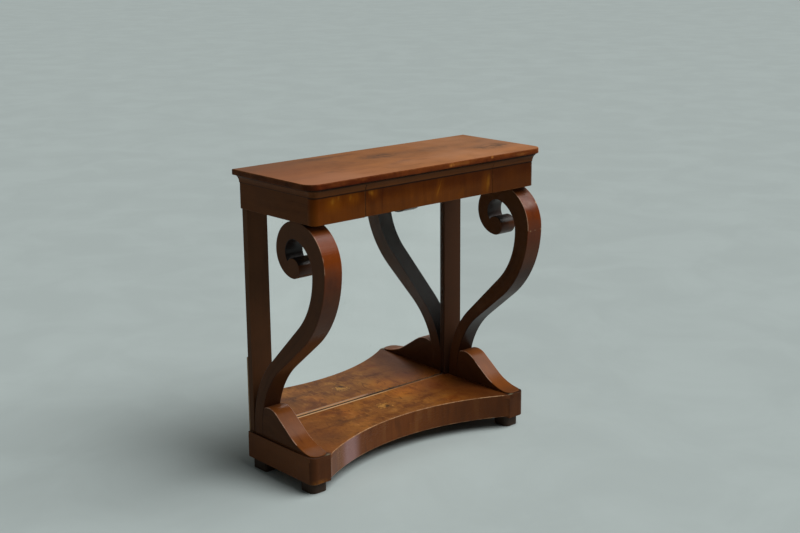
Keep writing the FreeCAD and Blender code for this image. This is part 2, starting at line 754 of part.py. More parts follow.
def scroll_outline():
    ground = value("plinth_top_face")
    seat = value("frieze_bottom")
    reach = value("scroll_reach")
    crown = value("crown_height")
    crown_depth = value("crown_depth")
    crown_radius = value("crown_radius")
    back = value("volute_back")
    back_radius = value("volute_back_radius")
    low_radius = value("volute_low_radius")
    belly_height = value("belly_height")
    belly_radius = value("belly_sweep_radius")
    inner_reach = value("belly_reach")
    inner_height = value("belly_inner_height")
    inner_radius = value("belly_inner_radius")
    hook_front = value("hook_front_radius")
    hook_back = value("hook_back_radius")
    foot_front = value("scroll_foot_depth")
    foot_back = value("scroll_foot_back")
    foot_radius = value("foot_sweep_radius")
    heel_radius = value("heel_sweep_radius")

    foot_centre = foot_sweep_centre()
    belly_centre = point(reach - belly_radius, belly_height)
    crown_centre = point(crown_depth, belly_height)
    back_centre = point(crown_depth, crown - back_radius)
    low_centre = point(back + low_radius, back_centre.y)
    volute_low = low_centre.y - low_radius
    inner_centre = point(inner_reach - inner_radius, inner_height)
    hook_front_centre = point(inner_reach - hook_front, inner_height)
    hook_back_depth = back + value("volute_back_thickness") + hook_back
    hook_offset = hook_back_depth - hook_front_centre.x
    hook_rise = math.sqrt((hook_front - hook_back) ** 2 - hook_offset ** 2)
    hook_back_centre = point(hook_back_depth, inner_height + hook_rise)
    hook_join = toward(hook_front_centre, hook_front, bearing(hook_front_centre, hook_back_centre))
    roll_radius = value("volute_roll_share") * (hook_back_centre.y - volute_low) / 2
    roll_centre = point(low_centre.x, volute_low + roll_radius)

    belly_end, shin_start = cross_tangent(belly_centre, belly_radius, foot_centre, foot_radius)
    calf_end, heel_start = cross_tangent(inner_centre, inner_radius, foot_centre, heel_radius)
    seat_front = crown_depth + math.sqrt(crown_radius ** 2 - (seat - crown_centre.y) ** 2)
    seat_back = crown_depth - math.sqrt(back_radius ** 2 - (seat - back_centre.y) ** 2)

    scroll = Outline(point(foot_front, ground))
    scroll.line(point(foot_front, foot_centre.y))
    scroll.arc(foot_centre, shin_start, -1)
    scroll.line(belly_end)
    scroll.arc(belly_centre, point(reach, belly_height), 1)
    scroll.arc(crown_centre, point(seat_front, seat), 1)
    scroll.line(point(seat_back, seat))
    scroll.arc(back_centre, point(back, back_centre.y), 1)
    scroll.arc(low_centre, point(low_centre.x, volute_low), 1)
    scroll.arc(roll_centre, crossing(roll_centre, roll_radius, hook_back_centre, hook_back, 1), 1)
    scroll.arc(hook_back_centre, hook_join, -1)
    scroll.arc(hook_front_centre, point(inner_reach, inner_height), -1)
    scroll.arc(inner_centre, calf_end, -1)
    scroll.line(heel_start)
    scroll.arc(foot_centre, point(foot_back, foot_centre.y), 1)
    scroll.line(point(foot_back, ground))
    scroll.line(point(foot_front, ground))
    return scroll


def build_scrolls():
    blank = scroll_outline().extruded("scroll_blank")
    holes = [dowel("scroll_hole", place, "2 * joint_clearance") for place in (FOOT_DOWEL, CROWN_DOWEL)]
    keep_pair(cut("scroll_right", blank, holes))
    keep(both_sides("scroll_dowels", [dowel("scroll_dowel", place) for place in (FOOT_DOWEL, CROWN_DOWEL)]))


# Brackets with an ogee top, fitted to the front of the scrolls' feet
def bracket_outline():
    ground = value("plinth_top_face")
    rear = value("scroll_foot_depth + bracket_clearance")
    foot_radius = value("foot_sweep_radius - bracket_clearance")
    hump_radius = value("bracket_hump_radius")
    heel_drop = value("bracket_heel_drop")
    crest = ground + value("bracket_height")
    tip = point(value("bracket_tip_depth"), ground + value("bracket_tip_height"))
    foot_centre = foot_sweep_centre()
    heel_rise = crest - heel_drop - foot_centre.y
    heel = point(foot_centre.x - math.sqrt(foot_radius ** 2 - heel_rise ** 2), crest - heel_drop)
    hump_offset = math.sqrt(2 * hump_radius * heel_drop - heel_drop ** 2)
    hump_centre = point(heel.x + hump_offset, crest - hump_radius)
    fall = crest - tip.y
    slope_limit = ((tip.x - hump_centre.x) ** 2 + fall ** 2) / (2 * fall)
    hollow_radius = value("bracket_hollow_share") * (slope_limit - hump_radius)
    hollow_centre = point(tip.x, tip.y + hollow_radius)
    slope_start, slope_end = cross_tangent(hump_centre, hump_radius, hollow_centre, hollow_radius)

    bracket = Outline(point(rear, ground))
    bracket.line(point(rear, foot_centre.y))
    bracket.arc(foot_centre, heel, -1)
    bracket.arc(hump_centre, slope_start, -1)
    bracket.line(slope_end)
    bracket.arc(hollow_centre, tip, 1)
    bracket.line(point(tip.x, ground))
    bracket.line(point(rear, ground))
    return bracket


def build_brackets():
    plan = corner_plan("scroll_inner", "scroll_outer", "scroll_foot_depth", "bracket_tip_depth",
                       "bracket_corner_radius")
    bracket = doc.addObject("Part::Common", "scroll_bracket_right")
    bracket.Base = bracket_outline().extruded("bracket_blank")
    bracket.Tool = corner_block("bracket_plan_block", plan,
                                ("plinth_top_face", "plinth_top_face + bracket_height + cut_overrun"))
    keep_pair(bracket)


# Plinth with a concave front between two corner blocks
def build_plinth():
    body = new_body("plinth_top_blank", "plinth_under")
    corners = [
        ("-plinth_half", "0"),
        ("-plinth_half", "-(plinth_reach - plinth_corner_radius)"),
        ("-(plinth_half - plinth_corner_radius)", "-plinth_reach"),
        ("-plinth_bay_half", "-plinth_reach"),
        ("plinth_bay_half", "-plinth_reach"),
        ("plinth_half - plinth_corner_radius", "-plinth_reach"),
        ("plinth_half", "-(plinth_reach - plinth_corner_radius)"),
        ("plinth_half", "0"),
    ]
    arcs = {1: ("plinth_corner_radius", 1), 3: ("plinth_bay_radius", -1), 5: ("plinth_corner_radius", 1)}
    pad(body, draw(body, "plinth_top_plan", "XY_Plane", corners, arcs), "plinth_top_thickness")
    mortise = box("plinth_mortise", about("tenon_middle", "(tenon_width + 2 * joint_clearance)"),
                  ("tenon_back - joint_clearance", "tenon_front + joint_clearance"),
                  ("plinth_under - cut_overrun", "plinth_top_face + cut_overrun"))
    hole = dowel("plinth_dowel_hole", FOOT_DOWEL, "2 * joint_clearance")
    keep(cut("plinth_top", body, [both_sides("plinth_top_holes", [mortise, hole])]))

    under = ("plinth_bottom", "plinth_under")
    body = new_body("plinth_front", "plinth_bottom + plinth_front_rise")
    corners = [
        ("-plinth_bay_half", "-plinth_reach"),
        ("plinth_bay_half", "-plinth_reach"),
        ("plinth_bay_half", "-plinth_band_end"),
        ("-plinth_bay_half", "-plinth_band_end"),
    ]
    arcs = {0: ("plinth_bay_radius", -1), 2: ("plinth_band_radius", 1)}
    pad(body, draw(body, "plinth_front_plan", "XY_Plane", corners, arcs),
        "plinth_under - plinth_bottom - plinth_front_rise")
    keep(body)

    keep_pair(box("plinth_side_right", ("plinth_inner_half", "plinth_half"),
                  ("0", "plinth_block_rear"), under))
    plan = corner_plan("plinth_bay_half", "plinth_half", "plinth_block_rear", "plinth_reach",
                       "plinth_corner_radius")
    block = corner_block("plinth_corner_blank", plan, under)
    keep_pair(cut("plinth_corner_right", block, [screw_hole("corner_screw_hole", FRONT_SCREW)]))
    block = box("back_block_blank", ("plinth_inner_half - plinth_back_block", "plinth_inner_half"),
                ("plinth_board", "plinth_board + plinth_back_block"), under)
    keep_pair(cut("plinth_back_block_right", block, [screw_hole("block_screw_hole", BACK_SCREW)]))
    z = ("plinth_under - glue_block", "plinth_under")
    middle = "((plinth_board + plinth_back_block + plinth_block_rear) / 2)"
    blocks = [
        box("plinth_block", ("plinth_inner_half - glue_block", "plinth_inner_half"),
            about(middle, "glue_block_length"), z),
        box("plinth_block", about("%.2f * plinth_inner_half" % PLINTH_BLOCK_SHARE, "glue_block_length"),
            ("plinth_board", "plinth_board + glue_block"), z),
    ]
    keep(both_sides("plinth_glue_blocks", blocks))


# Feet, each held by one screw from below
FRONT_SCREW = "foot_front - foot_depth / 2"
BACK_SCREW = "foot_back_inset + foot_depth / 2"
SCREW_SHANK = ("screw_recess", "plinth_bottom + screw_grip")


def screw_hole(label, depth):
    return upright_pin(label, "screw_diameter + 2 * joint_clearance", "foot_screw_x", depth,
                       (SCREW_SHANK[0], SCREW_SHANK[1] + " + joint_clearance"))


def build_feet():
    plan = corner_plan("foot_inner", "foot_outer", "foot_front - foot_depth", "foot_front",
                       "foot_corner_radius")
    front = corner_block("foot_front_blank", plan, ("0", "foot_height"))
    back = box("foot_back_blank", ("foot_inner", "foot_outer"),
               ("foot_back_inset", "foot_back_inset + foot_depth"), ("0", "foot_height"))
    screws = []
    for label, blank, depth in (("front", front, FRONT_SCREW), ("back", back, BACK_SCREW)):
        recess = upright_pin("screw_recess", "screw_head_diameter + 2 * joint_clearance", "foot_screw_x",
                             depth, ("-cut_overrun", "screw_recess"))
        holes = [recess, screw_hole("foot_screw_hole", depth)]
        keep_pair(cut("foot_%s_right" % label, blank, [fuse("foot_%s_bore" % label, holes)]))
        shank = upright_pin("screw_shank", "screw_diameter", "foot_screw_x", depth, SCREW_SHANK)
        head = upright_pin("screw_head", "screw_head_diameter", "foot_screw_x", depth,
                           ("screw_recess - screw_head_height", "screw_recess"))
        screws.append(fuse("foot_screw", [shank, head]))
    keep(both_sides("foot_screws", screws))


def check_and_write():
    doc.recompute()
    failed = [obj.Label for obj in doc.Objects if {"Invalid", "Error"} & set(obj.State)]
    failed += [obj.Label for obj in nodes if obj.Shape.isNull() or not obj.Shape.isValid()]
    if failed:
        raise RuntimeError("failed objects: " + ", ".join(failed))
    os.makedirs("parts", exist_ok=True)
    for obj in nodes:
        obj.Shape.exportStep("parts/%s.step" % obj.Label)
    print("%d nodes" % len(nodes))


build_top()
build_coves()
build_drawer_cove()
build_frieze()
build_drawer_guides()
build_drawer()
build_back()
build_scrolls()
build_brackets()
build_plinth()
build_feet()
check_and_write()
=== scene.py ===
import json
import math
from collections import namedtuple

import bmesh
import bpy
from mathutils import Matrix, Vector


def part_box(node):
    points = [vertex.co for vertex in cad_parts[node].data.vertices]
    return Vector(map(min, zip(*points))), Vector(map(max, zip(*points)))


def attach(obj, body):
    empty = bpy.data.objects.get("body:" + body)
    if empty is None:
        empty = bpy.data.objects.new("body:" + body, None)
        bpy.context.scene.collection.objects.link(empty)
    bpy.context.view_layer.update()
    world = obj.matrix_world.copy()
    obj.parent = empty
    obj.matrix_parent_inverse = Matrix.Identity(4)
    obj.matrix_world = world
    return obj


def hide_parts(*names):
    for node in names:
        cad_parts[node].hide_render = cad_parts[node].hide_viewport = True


bl_info = {
    "name": "Pier table",
    "version": (1, 0, 0),
    "blender": (4, 5, 0),
    "location": "View3D > Sidebar > Pier table",
    "description": "Dresses the frame of a pier table in polished mahogany, pine, old glass and iron",
    "category": "Add Mesh",
}

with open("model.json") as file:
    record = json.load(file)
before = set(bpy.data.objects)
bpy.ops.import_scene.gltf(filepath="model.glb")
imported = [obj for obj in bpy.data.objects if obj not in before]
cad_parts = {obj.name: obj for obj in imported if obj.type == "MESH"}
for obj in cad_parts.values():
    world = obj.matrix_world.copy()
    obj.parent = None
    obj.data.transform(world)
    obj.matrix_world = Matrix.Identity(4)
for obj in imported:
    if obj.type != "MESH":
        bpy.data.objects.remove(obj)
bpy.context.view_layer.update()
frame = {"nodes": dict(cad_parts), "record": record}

# Where the frame's faces lie, in metres
TOP_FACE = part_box("table_top")[1].z
TOP_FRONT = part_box("table_top")[0].y
FRIEZE_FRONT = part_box("frieze_front_right")[0].y
FRIEZE_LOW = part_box("frieze_front_right")[0].z
COVE_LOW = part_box("drawer_cove")[0].z
COVE_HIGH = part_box("drawer_cove")[1].z
DRAWER_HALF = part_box("drawer_front")[1].x
PLINTH_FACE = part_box("plinth_top")[1].z
PLINTH_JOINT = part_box("plinth_top")[0].z
CORNER_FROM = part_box("plinth_corner_right")[0].x
MIRROR_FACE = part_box("mirror_plate")[0].y
MIRROR_LOW, MIRROR_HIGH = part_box("mirror_plate")
BACK_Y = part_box("back_post_right")[1].y
BODY_OF = {node: body for body, nodes in frame["record"]["behaviour"]["bodies"].items() for node in nodes}


# Properties that a user would change
def length_property(label, words, default, low, high):
    return bpy.props.FloatProperty(name=label, description=words, default=default, min=low, max=high,
                                   unit="LENGTH")


def colour_property(label, words, default):
    return bpy.props.FloatVectorProperty(name=label, description=words, default=default, size=3,
                                         min=0.0, max=1.0, subtype="COLOR")


class PierTableShape(bpy.types.PropertyGroup):
    soft_edge: length_property(
        "Soft edge", "Width of the rounding on polished edges", 0.0009, 0.0002, 0.003)
    sharp_edge: length_property(
        "Sharp edge", "Width of the rounding on bare timber", 0.0005, 0.0002, 0.002)
    worn_arris: length_property(
        "Worn arris", "Width of the rounding where feet and dusters have worn an edge",
        0.0017, 0.0002, 0.004)
    worn_band: length_property(
        "Worn band", "How far wear reaches in from an edge", 0.0035, 0.001, 0.01)
    foot_corner: length_property(
        "Foot corner", "Rounding of the front feet's upright corners", 0.015, 0.002, 0.018)
    bracket_tip: length_property(
        "Bracket tip", "Rounding of the inner corner of a bracket's tip, in plan", 0.024, 0.004, 0.03)
    nail_head: length_property(
        "Nail head", "Diameter of the nail heads on the back", 0.0056, 0.003, 0.01)


class PierTableFinish(bpy.types.PropertyGroup):
    top: colour_property("Top", "Faded polish of the top board", (0.350, 0.138, 0.048))
    frieze: colour_property("Frieze", "Figured veneer of the frieze", (0.112, 0.026, 0.001))
    dark: colour_property("Dark polish", "Sides, posts and cove", (0.110, 0.036, 0.010))
    scroll: colour_property("Scrolls", "Veneer of the scroll supports", (0.150, 0.040, 0.007))
    bracket: colour_property("Brackets", "Veneer of the scrolls' brackets", (0.180, 0.052, 0.009))
    side: colour_property("Scroll sides", "Sides of scrolls and brackets", (0.084, 0.029, 0.009))
    corner: colour_property("Plinth corners", "Veneer of the plinth's corner blocks", (0.076, 0.024, 0.007))
    edge: colour_property("Top edge", "Edge of the top board", (0.158, 0.041, 0.010))
    foot: colour_property("Feet", "Dark feet", (0.042, 0.024, 0.015))
    base: colour_property("Plinth top", "Mottled veneer of the plinth's top", (0.275, 0.098, 0.016))
    plinth: colour_property("Plinth", "Veneer of the plinth's concave front", (0.134, 0.038, 0.007))
    pine: colour_property("Pine", "Bare secondary timber", (0.330, 0.205, 0.105))
    oak: colour_property("Oak", "Drawer lining", (0.300, 0.195, 0.110))
    glass: colour_property("Mirror", "Tint of the old mirror plate", (0.880, 0.910, 0.905))
    iron: colour_property("Iron", "Nails and screws", (0.060, 0.052, 0.046))


class PierTableStage(bpy.types.PropertyGroup):
    floor: colour_property("Floor", "Plain pale floor", (0.465, 0.540, 0.540))
    sun_strength: bpy.props.FloatProperty(
        name="Key light", description="Strength of the broad soft light from the right", default=3.0,
        min=0.0, max=20.0)
    sun_spread: bpy.props.FloatProperty(
        name="Key spread", description="How broad the soft light is", default=0.9, min=0.0, max=3.0,
        subtype="ANGLE")
    room_light: bpy.props.FloatProperty(
        name="Room light", description="Strength of the even light from all round", default=0.10,
        min=0.0, max=2.0)


# Shader nodes, written as sums
def sum_method(operation):
    """A method of Signal that adds one sum."""
    return lambda self, *others: self.work(operation, *others)


class Signal:
    """A shader node's output; a sum of signals adds the nodes that it needs to their tree."""

    def __init__(self, socket):
        self.socket = socket
        self.tree = socket.id_data
        self.parts = None

    def work(self, operation, *values):
        """A sum that starts with this signal, of vectors if it is a vector."""
        kind = "ShaderNodeVectorMath" if self.socket.type == "VECTOR" else "ShaderNodeMath"
        made = place(self.tree, kind, {"operation": operation})
        feed_all(made, self, *values)
        return Signal(made.outputs["Value" if operation == "LENGTH" else 0])

    __add__ = sum_method("ADD")
    __sub__ = sum_method("SUBTRACT")
    __mul__ = sum_method("MULTIPLY")
    __abs__ = sum_method("ABSOLUTE")
    larger = sum_method("MAXIMUM")
    smaller = sum_method("MINIMUM")
    length = sum_method("LENGTH")
    x = property(lambda self: self.part("X"))
    y = property(lambda self: self.part("Y"))
    z = property(lambda self: self.part("Z"))

    def __rsub__(self, other):
        return self * -1.0 + other

    def part(self, axis):
        if self.parts is None:
            self.parts = place(self.tree, "ShaderNodeSeparateXYZ", Vector=self).outputs
        return Signal(self.parts[axis])

    def ease(self, low, high, start=0.0, end=1.0):
        """A smooth step from start to end while this value goes from low to high."""
        made = place(self.tree, "ShaderNodeMapRange", {"interpolation_type": "SMOOTHSTEP", "clamp": True})
        feed_all(made, self, low, high, start, end)
        return Signal(made.outputs[0])

    def between(self, low, risen, falling, high):
        """A smooth rise from low on, and a fall that ends at high."""
        return self.ease(low, risen) * self.ease(high, falling)

    def noise(self, scale, detail=3.0, roughness=0.55, distortion=0.0):
        """Soft noise at this place; a scale for each axis stretches it."""
        where, scale = (self * scale, 1.0) if isinstance(scale, tuple) else (self, scale)
        made = place(self.tree, "ShaderNodeTexNoise", Vector=where, Scale=scale, Detail=detail,
                     Roughness=roughness, Distortion=distortion)
        return Signal(made.outputs["Fac"])

    def spot(self, centre, reach, soft=0.25):
        """One inside an ellipsoid about a centre, fading to zero at its reach."""
        return (self - centre).work("DIVIDE", reach).length().ease(1.0, soft)

    def bump(self, strength, depth, **more):
        """A surface normal that rises and falls with this value."""
        made = place(self.tree, "ShaderNodeBump", Strength=strength, Distance=depth, Height=self, **more)
        return Signal(made.outputs[0])

    def painted(self, colour, amount):
        """This colour with another laid over it, by an amount from 0 to 1."""
        return blend(amount, self, colour)

    def shaded(self, shares, amount):
        """This colour times shares of red, green and blue, by an amount from 0 to 1."""
        return blend(amount, self, shares, "MULTIPLY")


def feed(socket, given):
    """Give a socket a value, or link a signal to it."""
    if isinstance(given, Signal):
        given.tree.links.new(given.socket, socket)
    elif socket.type == "RGBA":
        socket.default_value = (*given, 1.0)
    else:
        socket.default_value = given


def feed_all(node, *values):
    for socket, given in zip(node.inputs, values):
        feed(socket, given)


def connect(sockets, **values):
    """Feed sockets by their names, with underscores for spaces."""
    for name, given in values.items():
        feed(sockets[name.replace("_", " ")], given)


def place(tree, kind, settings=None, **inputs):
    """A node with its settings and its inputs, each a value or a signal."""
    made = tree.nodes.new(kind)
    for name, setting in (settings or {}).items():
        setattr(made, name, setting)
    connect(made.inputs, **inputs)
    return made


def blend(amount, first, second, mode="MIX"):
    """Two colours mixed by an amount."""
    settings = {"data_type": "RGBA", "blend_type": mode, "clamp_factor": True}
    made = place(amount.tree, "ShaderNodeMix", settings)
    for number, given in ((0, amount), (6, first), (7, second)):
        feed(made.inputs[number], given)
    return Signal(made.outputs[2])


def joined(x, y, z):
    """A vector of three values, at least one of them a signal."""
    tree = next(given.tree for given in (x, y, z) if isinstance(given, Signal))
    return Signal(place(tree, "ShaderNodeCombineXYZ", X=x, Y=y, Z=z).outputs[0])


def attribute(tree, name, output="Vector"):
    """What a mesh stores under a name."""
    return Signal(place(tree, "ShaderNodeAttribute", {"attribute_name": name}).outputs[output])


def new_group(name, inputs, outputs):
    """An empty node group; inputs and outputs map a socket's name to its kind."""
    kinds = {"value": "NodeSocketFloat", "colour": "NodeSocketColor", "vector": "NodeSocketVector"}
    tree = bpy.data.node_groups.new(name, "ShaderNodeTree")
    for direction, sockets in (("INPUT", inputs), ("OUTPUT", outputs)):
        for label, kind in sockets.items():
            tree.interface.new_socket(label, in_out=direction, socket_type=kinds[kind])
    given = tree.nodes.new("NodeGroupInput").outputs
    return {label: Signal(given[label]) for label in inputs}, tree.nodes.new("NodeGroupOutput").inputs


def use_group(tree, name, **inputs):
    """The outputs of a node group by their names, with its inputs fed."""
    made = place(tree, "ShaderNodeGroup", {"node_tree": bpy.data.node_groups[name]}, **inputs)
    return {socket.name: Signal(socket) for socket in made.outputs}


def new_material(name):
    """A material, its shader's inputs and the place on the table."""
    material = bpy.data.materials.new(name)
    material.use_nodes = True
    tree = material.node_tree
    where = Signal(tree.nodes.new("ShaderNodeTexCoord").outputs["Object"])
    return material, tree.nodes["Principled BSDF"].inputs, where


# Effects that several finishes share
def make_timber_group():
    """Grain, ribbon figure, mottle and pores; the first axis of Grain runs along the fibres."""
    given, result = new_group(
        "timber", {"Grain": "vector", "Dark": "colour", "Mid": "colour", "Light": "colour", "Seed": "value",
                   "Ribbon": "value", "Mottle": "value", "Flame": "value"},
        {"Color": "colour", "Pores": "value"})
    seed = given["Seed"]
    grain = given["Grain"] + joined(seed, seed, seed) * (0.37, 0.71, 0.53)
    sway = grain.noise((2.2, 6.0, 6.0), 2.0)
    fibre = grain + joined(0.0, sway * 0.05, 0.0)
    patterns = (
        (fibre.noise((2.6, 46.0, 46.0), 4.0, 0.6), given["Ribbon"] * 1.9),
        (fibre.noise((9.0, 330.0, 330.0), 3.0, 0.6), given["Ribbon"] * 0.9),
        (grain.noise((9.0, 15.0, 15.0), 4.0, 0.6, 0.8), given["Mottle"] * 2.0),
        (grain.noise((30.0, 11.0, 11.0), 3.0, 0.6, 1.6), given["Flame"] * 2.0),
    )
    tone = 0.5
    for pattern, strength in patterns:
        tone = (pattern - 0.5) * strength + tone
    tint = blend(tone.ease(0.05, 0.52), given["Dark"], given["Mid"])
    tint = tint.painted(given["Light"], tone.ease(0.5, 1.0))
    pore = fibre.noise((85.0, 1500.0, 1500.0), 1.0).ease(0.58, 0.72)
    connect(result, Color=tint.painted(given["Dark"], pore * 0.45), Pores=pore)


def make_wear_group():
    """Polish rubbed through along the edges, in patches."""
    given, result = new_group(
        "worn edges", {"Color": "colour", "Wear": "value", "Place": "vector", "Bare": "colour",
                       "Amount": "value"},
        {"Color": "colour", "Mask": "value"})
    where = given["Place"]
    rubbed = where.noise(38.0, 3.0, 0.65) * 1.1 + where.noise(240.0, 2.0, 0.6) * 0.35
    mask = (given["Wear"] * rubbed).ease(0.42, 0.95) * given["Amount"]
    connect(result, Color=given["Color"].painted(given["Bare"], mask), Mask=mask)


def make_grime_group():
    """Dirt and old wax: soft dark clouds and small specks."""
    given, result = new_group(
        "grime", {"Color": "colour", "Place": "vector", "Amount": "value", "Dirt": "colour"},
        {"Color": "colour", "Mask": "value"})
    cloud = given["Place"].noise(11.0, 5.0, 0.62).ease(0.45, 0.75)
    speck = given["Place"].noise(260.0, 2.0, 0.5).ease(0.68, 0.78)
    mask = (cloud * 0.75).larger(speck * 0.8) * given["Amount"]
    connect(result, Color=given["Color"].painted(given["Dirt"], mask), Mask=mask)


def make_polish_group():
    """Roughness of hand polish: smears, fine rubbing marks and dull places."""
    given, result = new_group(
        "hand polish", {"Place": "vector", "Roughness": "value", "Spread": "value", "Dull": "value"},
        {"Roughness": "value", "Ripple": "value"})
    where = given["Place"]
    smear = where.noise((7.0, 9.0, 16.0), 4.0, 0.6, 0.6) - 0.5
    rub = where.noise((60.0, 420.0, 420.0), 2.0) - 0.5
    rough = (smear + rub * 0.5) * given["Spread"] + given["Roughness"]
    rough = given["Dull"] * 0.3 + rough
    connect(result, Roughness=rough.larger(0.06).smaller(0.95), Ripple=where.noise(16.0, 2.0))


def make_groups():
    make_timber_group()
    make_wear_group()
    make_grime_group()
    make_polish_group()


# Each finish: shares of its colour for dark and light tones, bare wood, then figure, polish and wear
Finish = namedtuple("Finish", "dark light bare ribbon mottle flame rough spread gloss wear grime bump")
FINISHES = {
    "top": Finish((0.62, 0.58, 0.56), (1.20, 1.22, 1.26), (0.560, 0.280, 0.130),
                  0.42, 0.45, 0.00, 0.46, 0.22, 0.38, 0.22, 0.22, 0.10),
    "edge": Finish((0.50, 0.44, 0.40), (1.75, 1.85, 1.60), (0.420, 0.170, 0.060),
                   0.60, 0.80, 0.30, 0.42, 0.18, 0.03, 0.22, 0.25, 0.08),
    "frieze": Finish((0.45, 0.36, 0.30), (1.75, 1.90, 1.60), (0.300, 0.120, 0.040),
                     0.55, 0.40, 0.25, 0.36, 0.16, 0.04, 0.35, 0.15, 0.08),
    "dark": Finish((0.55, 0.50, 0.50), (1.45, 1.40, 1.30), (0.240, 0.100, 0.045),
                   0.45, 0.25, 0.00, 0.42, 0.18, 0.04, 0.30, 0.20, 0.10),
    # Pale bare wood shows on the worn arrises of scrolls and brackets, and is partly a painted highlight
    # along them
    "scroll": Finish((0.45, 0.40, 0.38), (1.60, 1.60, 1.40), (0.560, 0.340, 0.220),
                     0.45, 0.45, 0.25, 0.31, 0.18, 0.12, 0.60, 0.22, 0.08),
    "bracket": Finish((0.55, 0.50, 0.48), (1.40, 1.45, 1.35), (0.680, 0.430, 0.300),
                      0.40, 0.45, 0.15, 0.34, 0.18, 0.14, 0.85, 0.15, 0.08),
    "side": Finish((0.60, 0.55, 0.52), (1.45, 1.45, 1.35), (0.220, 0.100, 0.050),
                   0.45, 0.35, 0.10, 0.40, 0.18, 0.06, 0.45, 0.20, 0.08),
    "corner": Finish((0.60, 0.55, 0.52), (1.50, 1.55, 1.35), (0.300, 0.190, 0.110),
                     0.40, 0.40, 0.15, 0.32, 0.16, 0.08, 0.50, 0.22, 0.08),
    "plinth": Finish((0.60, 0.55, 0.50), (1.40, 1.45, 1.40), (0.520, 0.290, 0.150),
                     0.40, 0.40, 0.10, 0.26, 0.16, 0.12, 0.75, 0.22, 0.08),
    "base": Finish((0.58, 0.50, 0.42), (1.50, 1.65, 1.50), (0.640, 0.410, 0.220),
                   0.20, 0.70, 0.30, 0.46, 0.20, 0.05, 0.80, 0.18, 0.10),
    "foot": Finish((0.60, 0.60, 0.60), (1.50, 1.50, 1.45), (0.100, 0.060, 0.040),
                   0.45, 0.35, 0.00, 0.50, 0.18, 0.15, 0.45, 0.45, 0.12),
    "pine": Finish((0.55, 0.48, 0.40), (1.35, 1.38, 1.40), (0.560, 0.390, 0.230),
                   0.70, 0.30, 0.00, 0.72, 0.18, 0.25, 0.25, 0.34, 0.25),
    "oak": Finish((0.60, 0.55, 0.50), (1.30, 1.30, 1.30), (0.520, 0.380, 0.240),
                  0.70, 0.25, 0.00, 0.62, 0.18, 0.25, 0.25, 0.30, 0.25),
}
GRAIN_AXES = {"across": "xyz", "deep": "yxz", "upright": "zxy"}
DIRT = (0.022, 0.016, 0.012)
GRAIN_DEPTH = 0.0006
COAT_ROUGHNESS = 0.32


def shade(colour, share):
    """A colour times a share for each channel."""
    return tuple(channel * part for channel, part in zip(colour, share))


def grain_along(where, grain):
    """Coordinates with the fibre's direction first: an axis of the table, or the piece's own flow."""
    if grain == "flow":
        return attribute(where.tree, "flow")
    return joined(*(getattr(where, axis) for axis in GRAIN_AXES[grain]))


def timber(name, finish, grain, seed, marks=None):
    """A timber material; marks adds what is only at one place: colour, dullness and fresh polish."""
    values = FINISHES[finish]
    colour = tuple(getattr(bpy.context.scene.pier_finish, finish))
    material, shader, where = new_material(name)
    tree = where.tree
    figure = use_group(tree, "timber", Grain=grain_along(where, grain), Dark=shade(colour, values.dark),
                       Mid=colour, Light=shade(colour, values.light), Seed=seed, Ribbon=values.ribbon,
                       Mottle=values.mottle, Flame=values.flame)
    tint, dull, coat = figure["Color"], 0.0, 0.0
    if marks:
        tint, dull, coat = marks(where, tint)
    grimed = use_group(tree, "grime", Color=tint, Place=where, Amount=values.grime, Dirt=DIRT)
    rubbed = use_group(tree, "worn edges", Color=grimed["Color"], Wear=attribute(tree, "edge_wear", "Fac"),
                       Place=where, Bare=values.bare, Amount=values.wear)
    polish = use_group(tree, "hand polish", Place=where, Roughness=values.rough, Spread=values.spread,
                       Dull=grimed["Mask"] * 0.5 + dull + rubbed["Mask"] * 0.3)
    height = polish["Ripple"] * 0.8 - figure["Pores"]
    connect(shader, Base_Color=rubbed["Color"], Roughness=polish["Roughness"],
            Normal=height.bump(values.bump, GRAIN_DEPTH), Coat_Weight=coat, Coat_Roughness=COAT_ROUGHNESS,
            Specular_IOR_Level=values.gloss)
    return material


# How far a flat mark reaches through its board
THROUGH = 0.05

# Stains of the top: centre, half width and depth, strength
STAIN = (0.088, 0.055, 0.036)
TOP_STAINS = (
    ((-0.013, 0.056), (0.110, 0.045), 0.75),
    ((0.333, -0.041), (0.120, 0.055), 0.80),
    ((-0.248, -0.040), (0.055, 0.024), 0.50),
    ((-0.165, 0.136), (0.140, 0.030), 0.50),
    ((0.160, 0.045), (0.210, 0.050), 0.40),
)


def top_marks(where, tint):
    """Faded clouds, paler in front (a painted sheen) and to the right, with dark stains."""
    # Clouds and fading
    cloud = where.noise((4.0, 9.0, 9.0), 4.0, 0.6, 0.8)
    tint = tint.painted((0.190, 0.086, 0.048), cloud.ease(0.47, 0.32, 0.0, 0.5))
    tint = tint.painted((0.430, 0.165, 0.050), cloud.ease(0.53, 0.66, 0.0, 0.4))
    fade = where.noise(3.2, 3.0, 0.6).ease(0.42, 0.68)
    tint = tint.painted((0.470, 0.235, 0.125), fade * 0.45)
    # Darker to the left, paler in front with a painted sheen, greyer in the far left corner
    tint = tint.painted((0.270, 0.104, 0.050), where.x.ease(-0.08, -0.36, 0.0, 0.65))
    tint = tint.shaded((1.28, 1.29, 1.34), where.y.ease(0.05, -0.12))
    tint = tint.shaded((0.78, 0.88, 1.03), where.x.ease(0.0, -0.40) * where.y.ease(0.03, 0.15))
    # Stains
    dull = fade * 0.15
    ragged = where.noise(26.0, 4.0, 0.65)
    for (x, y), (wide, deep), strength in TOP_STAINS:
        mask = where.spot((x, y, TOP_FACE), (wide, deep, THROUGH), 0.1) * ragged.ease(0.3, 0.62)
        tint = tint.painted(STAIN, mask * strength)
        dull = mask * 0.35 + dull
    return tint, dull, 0.0


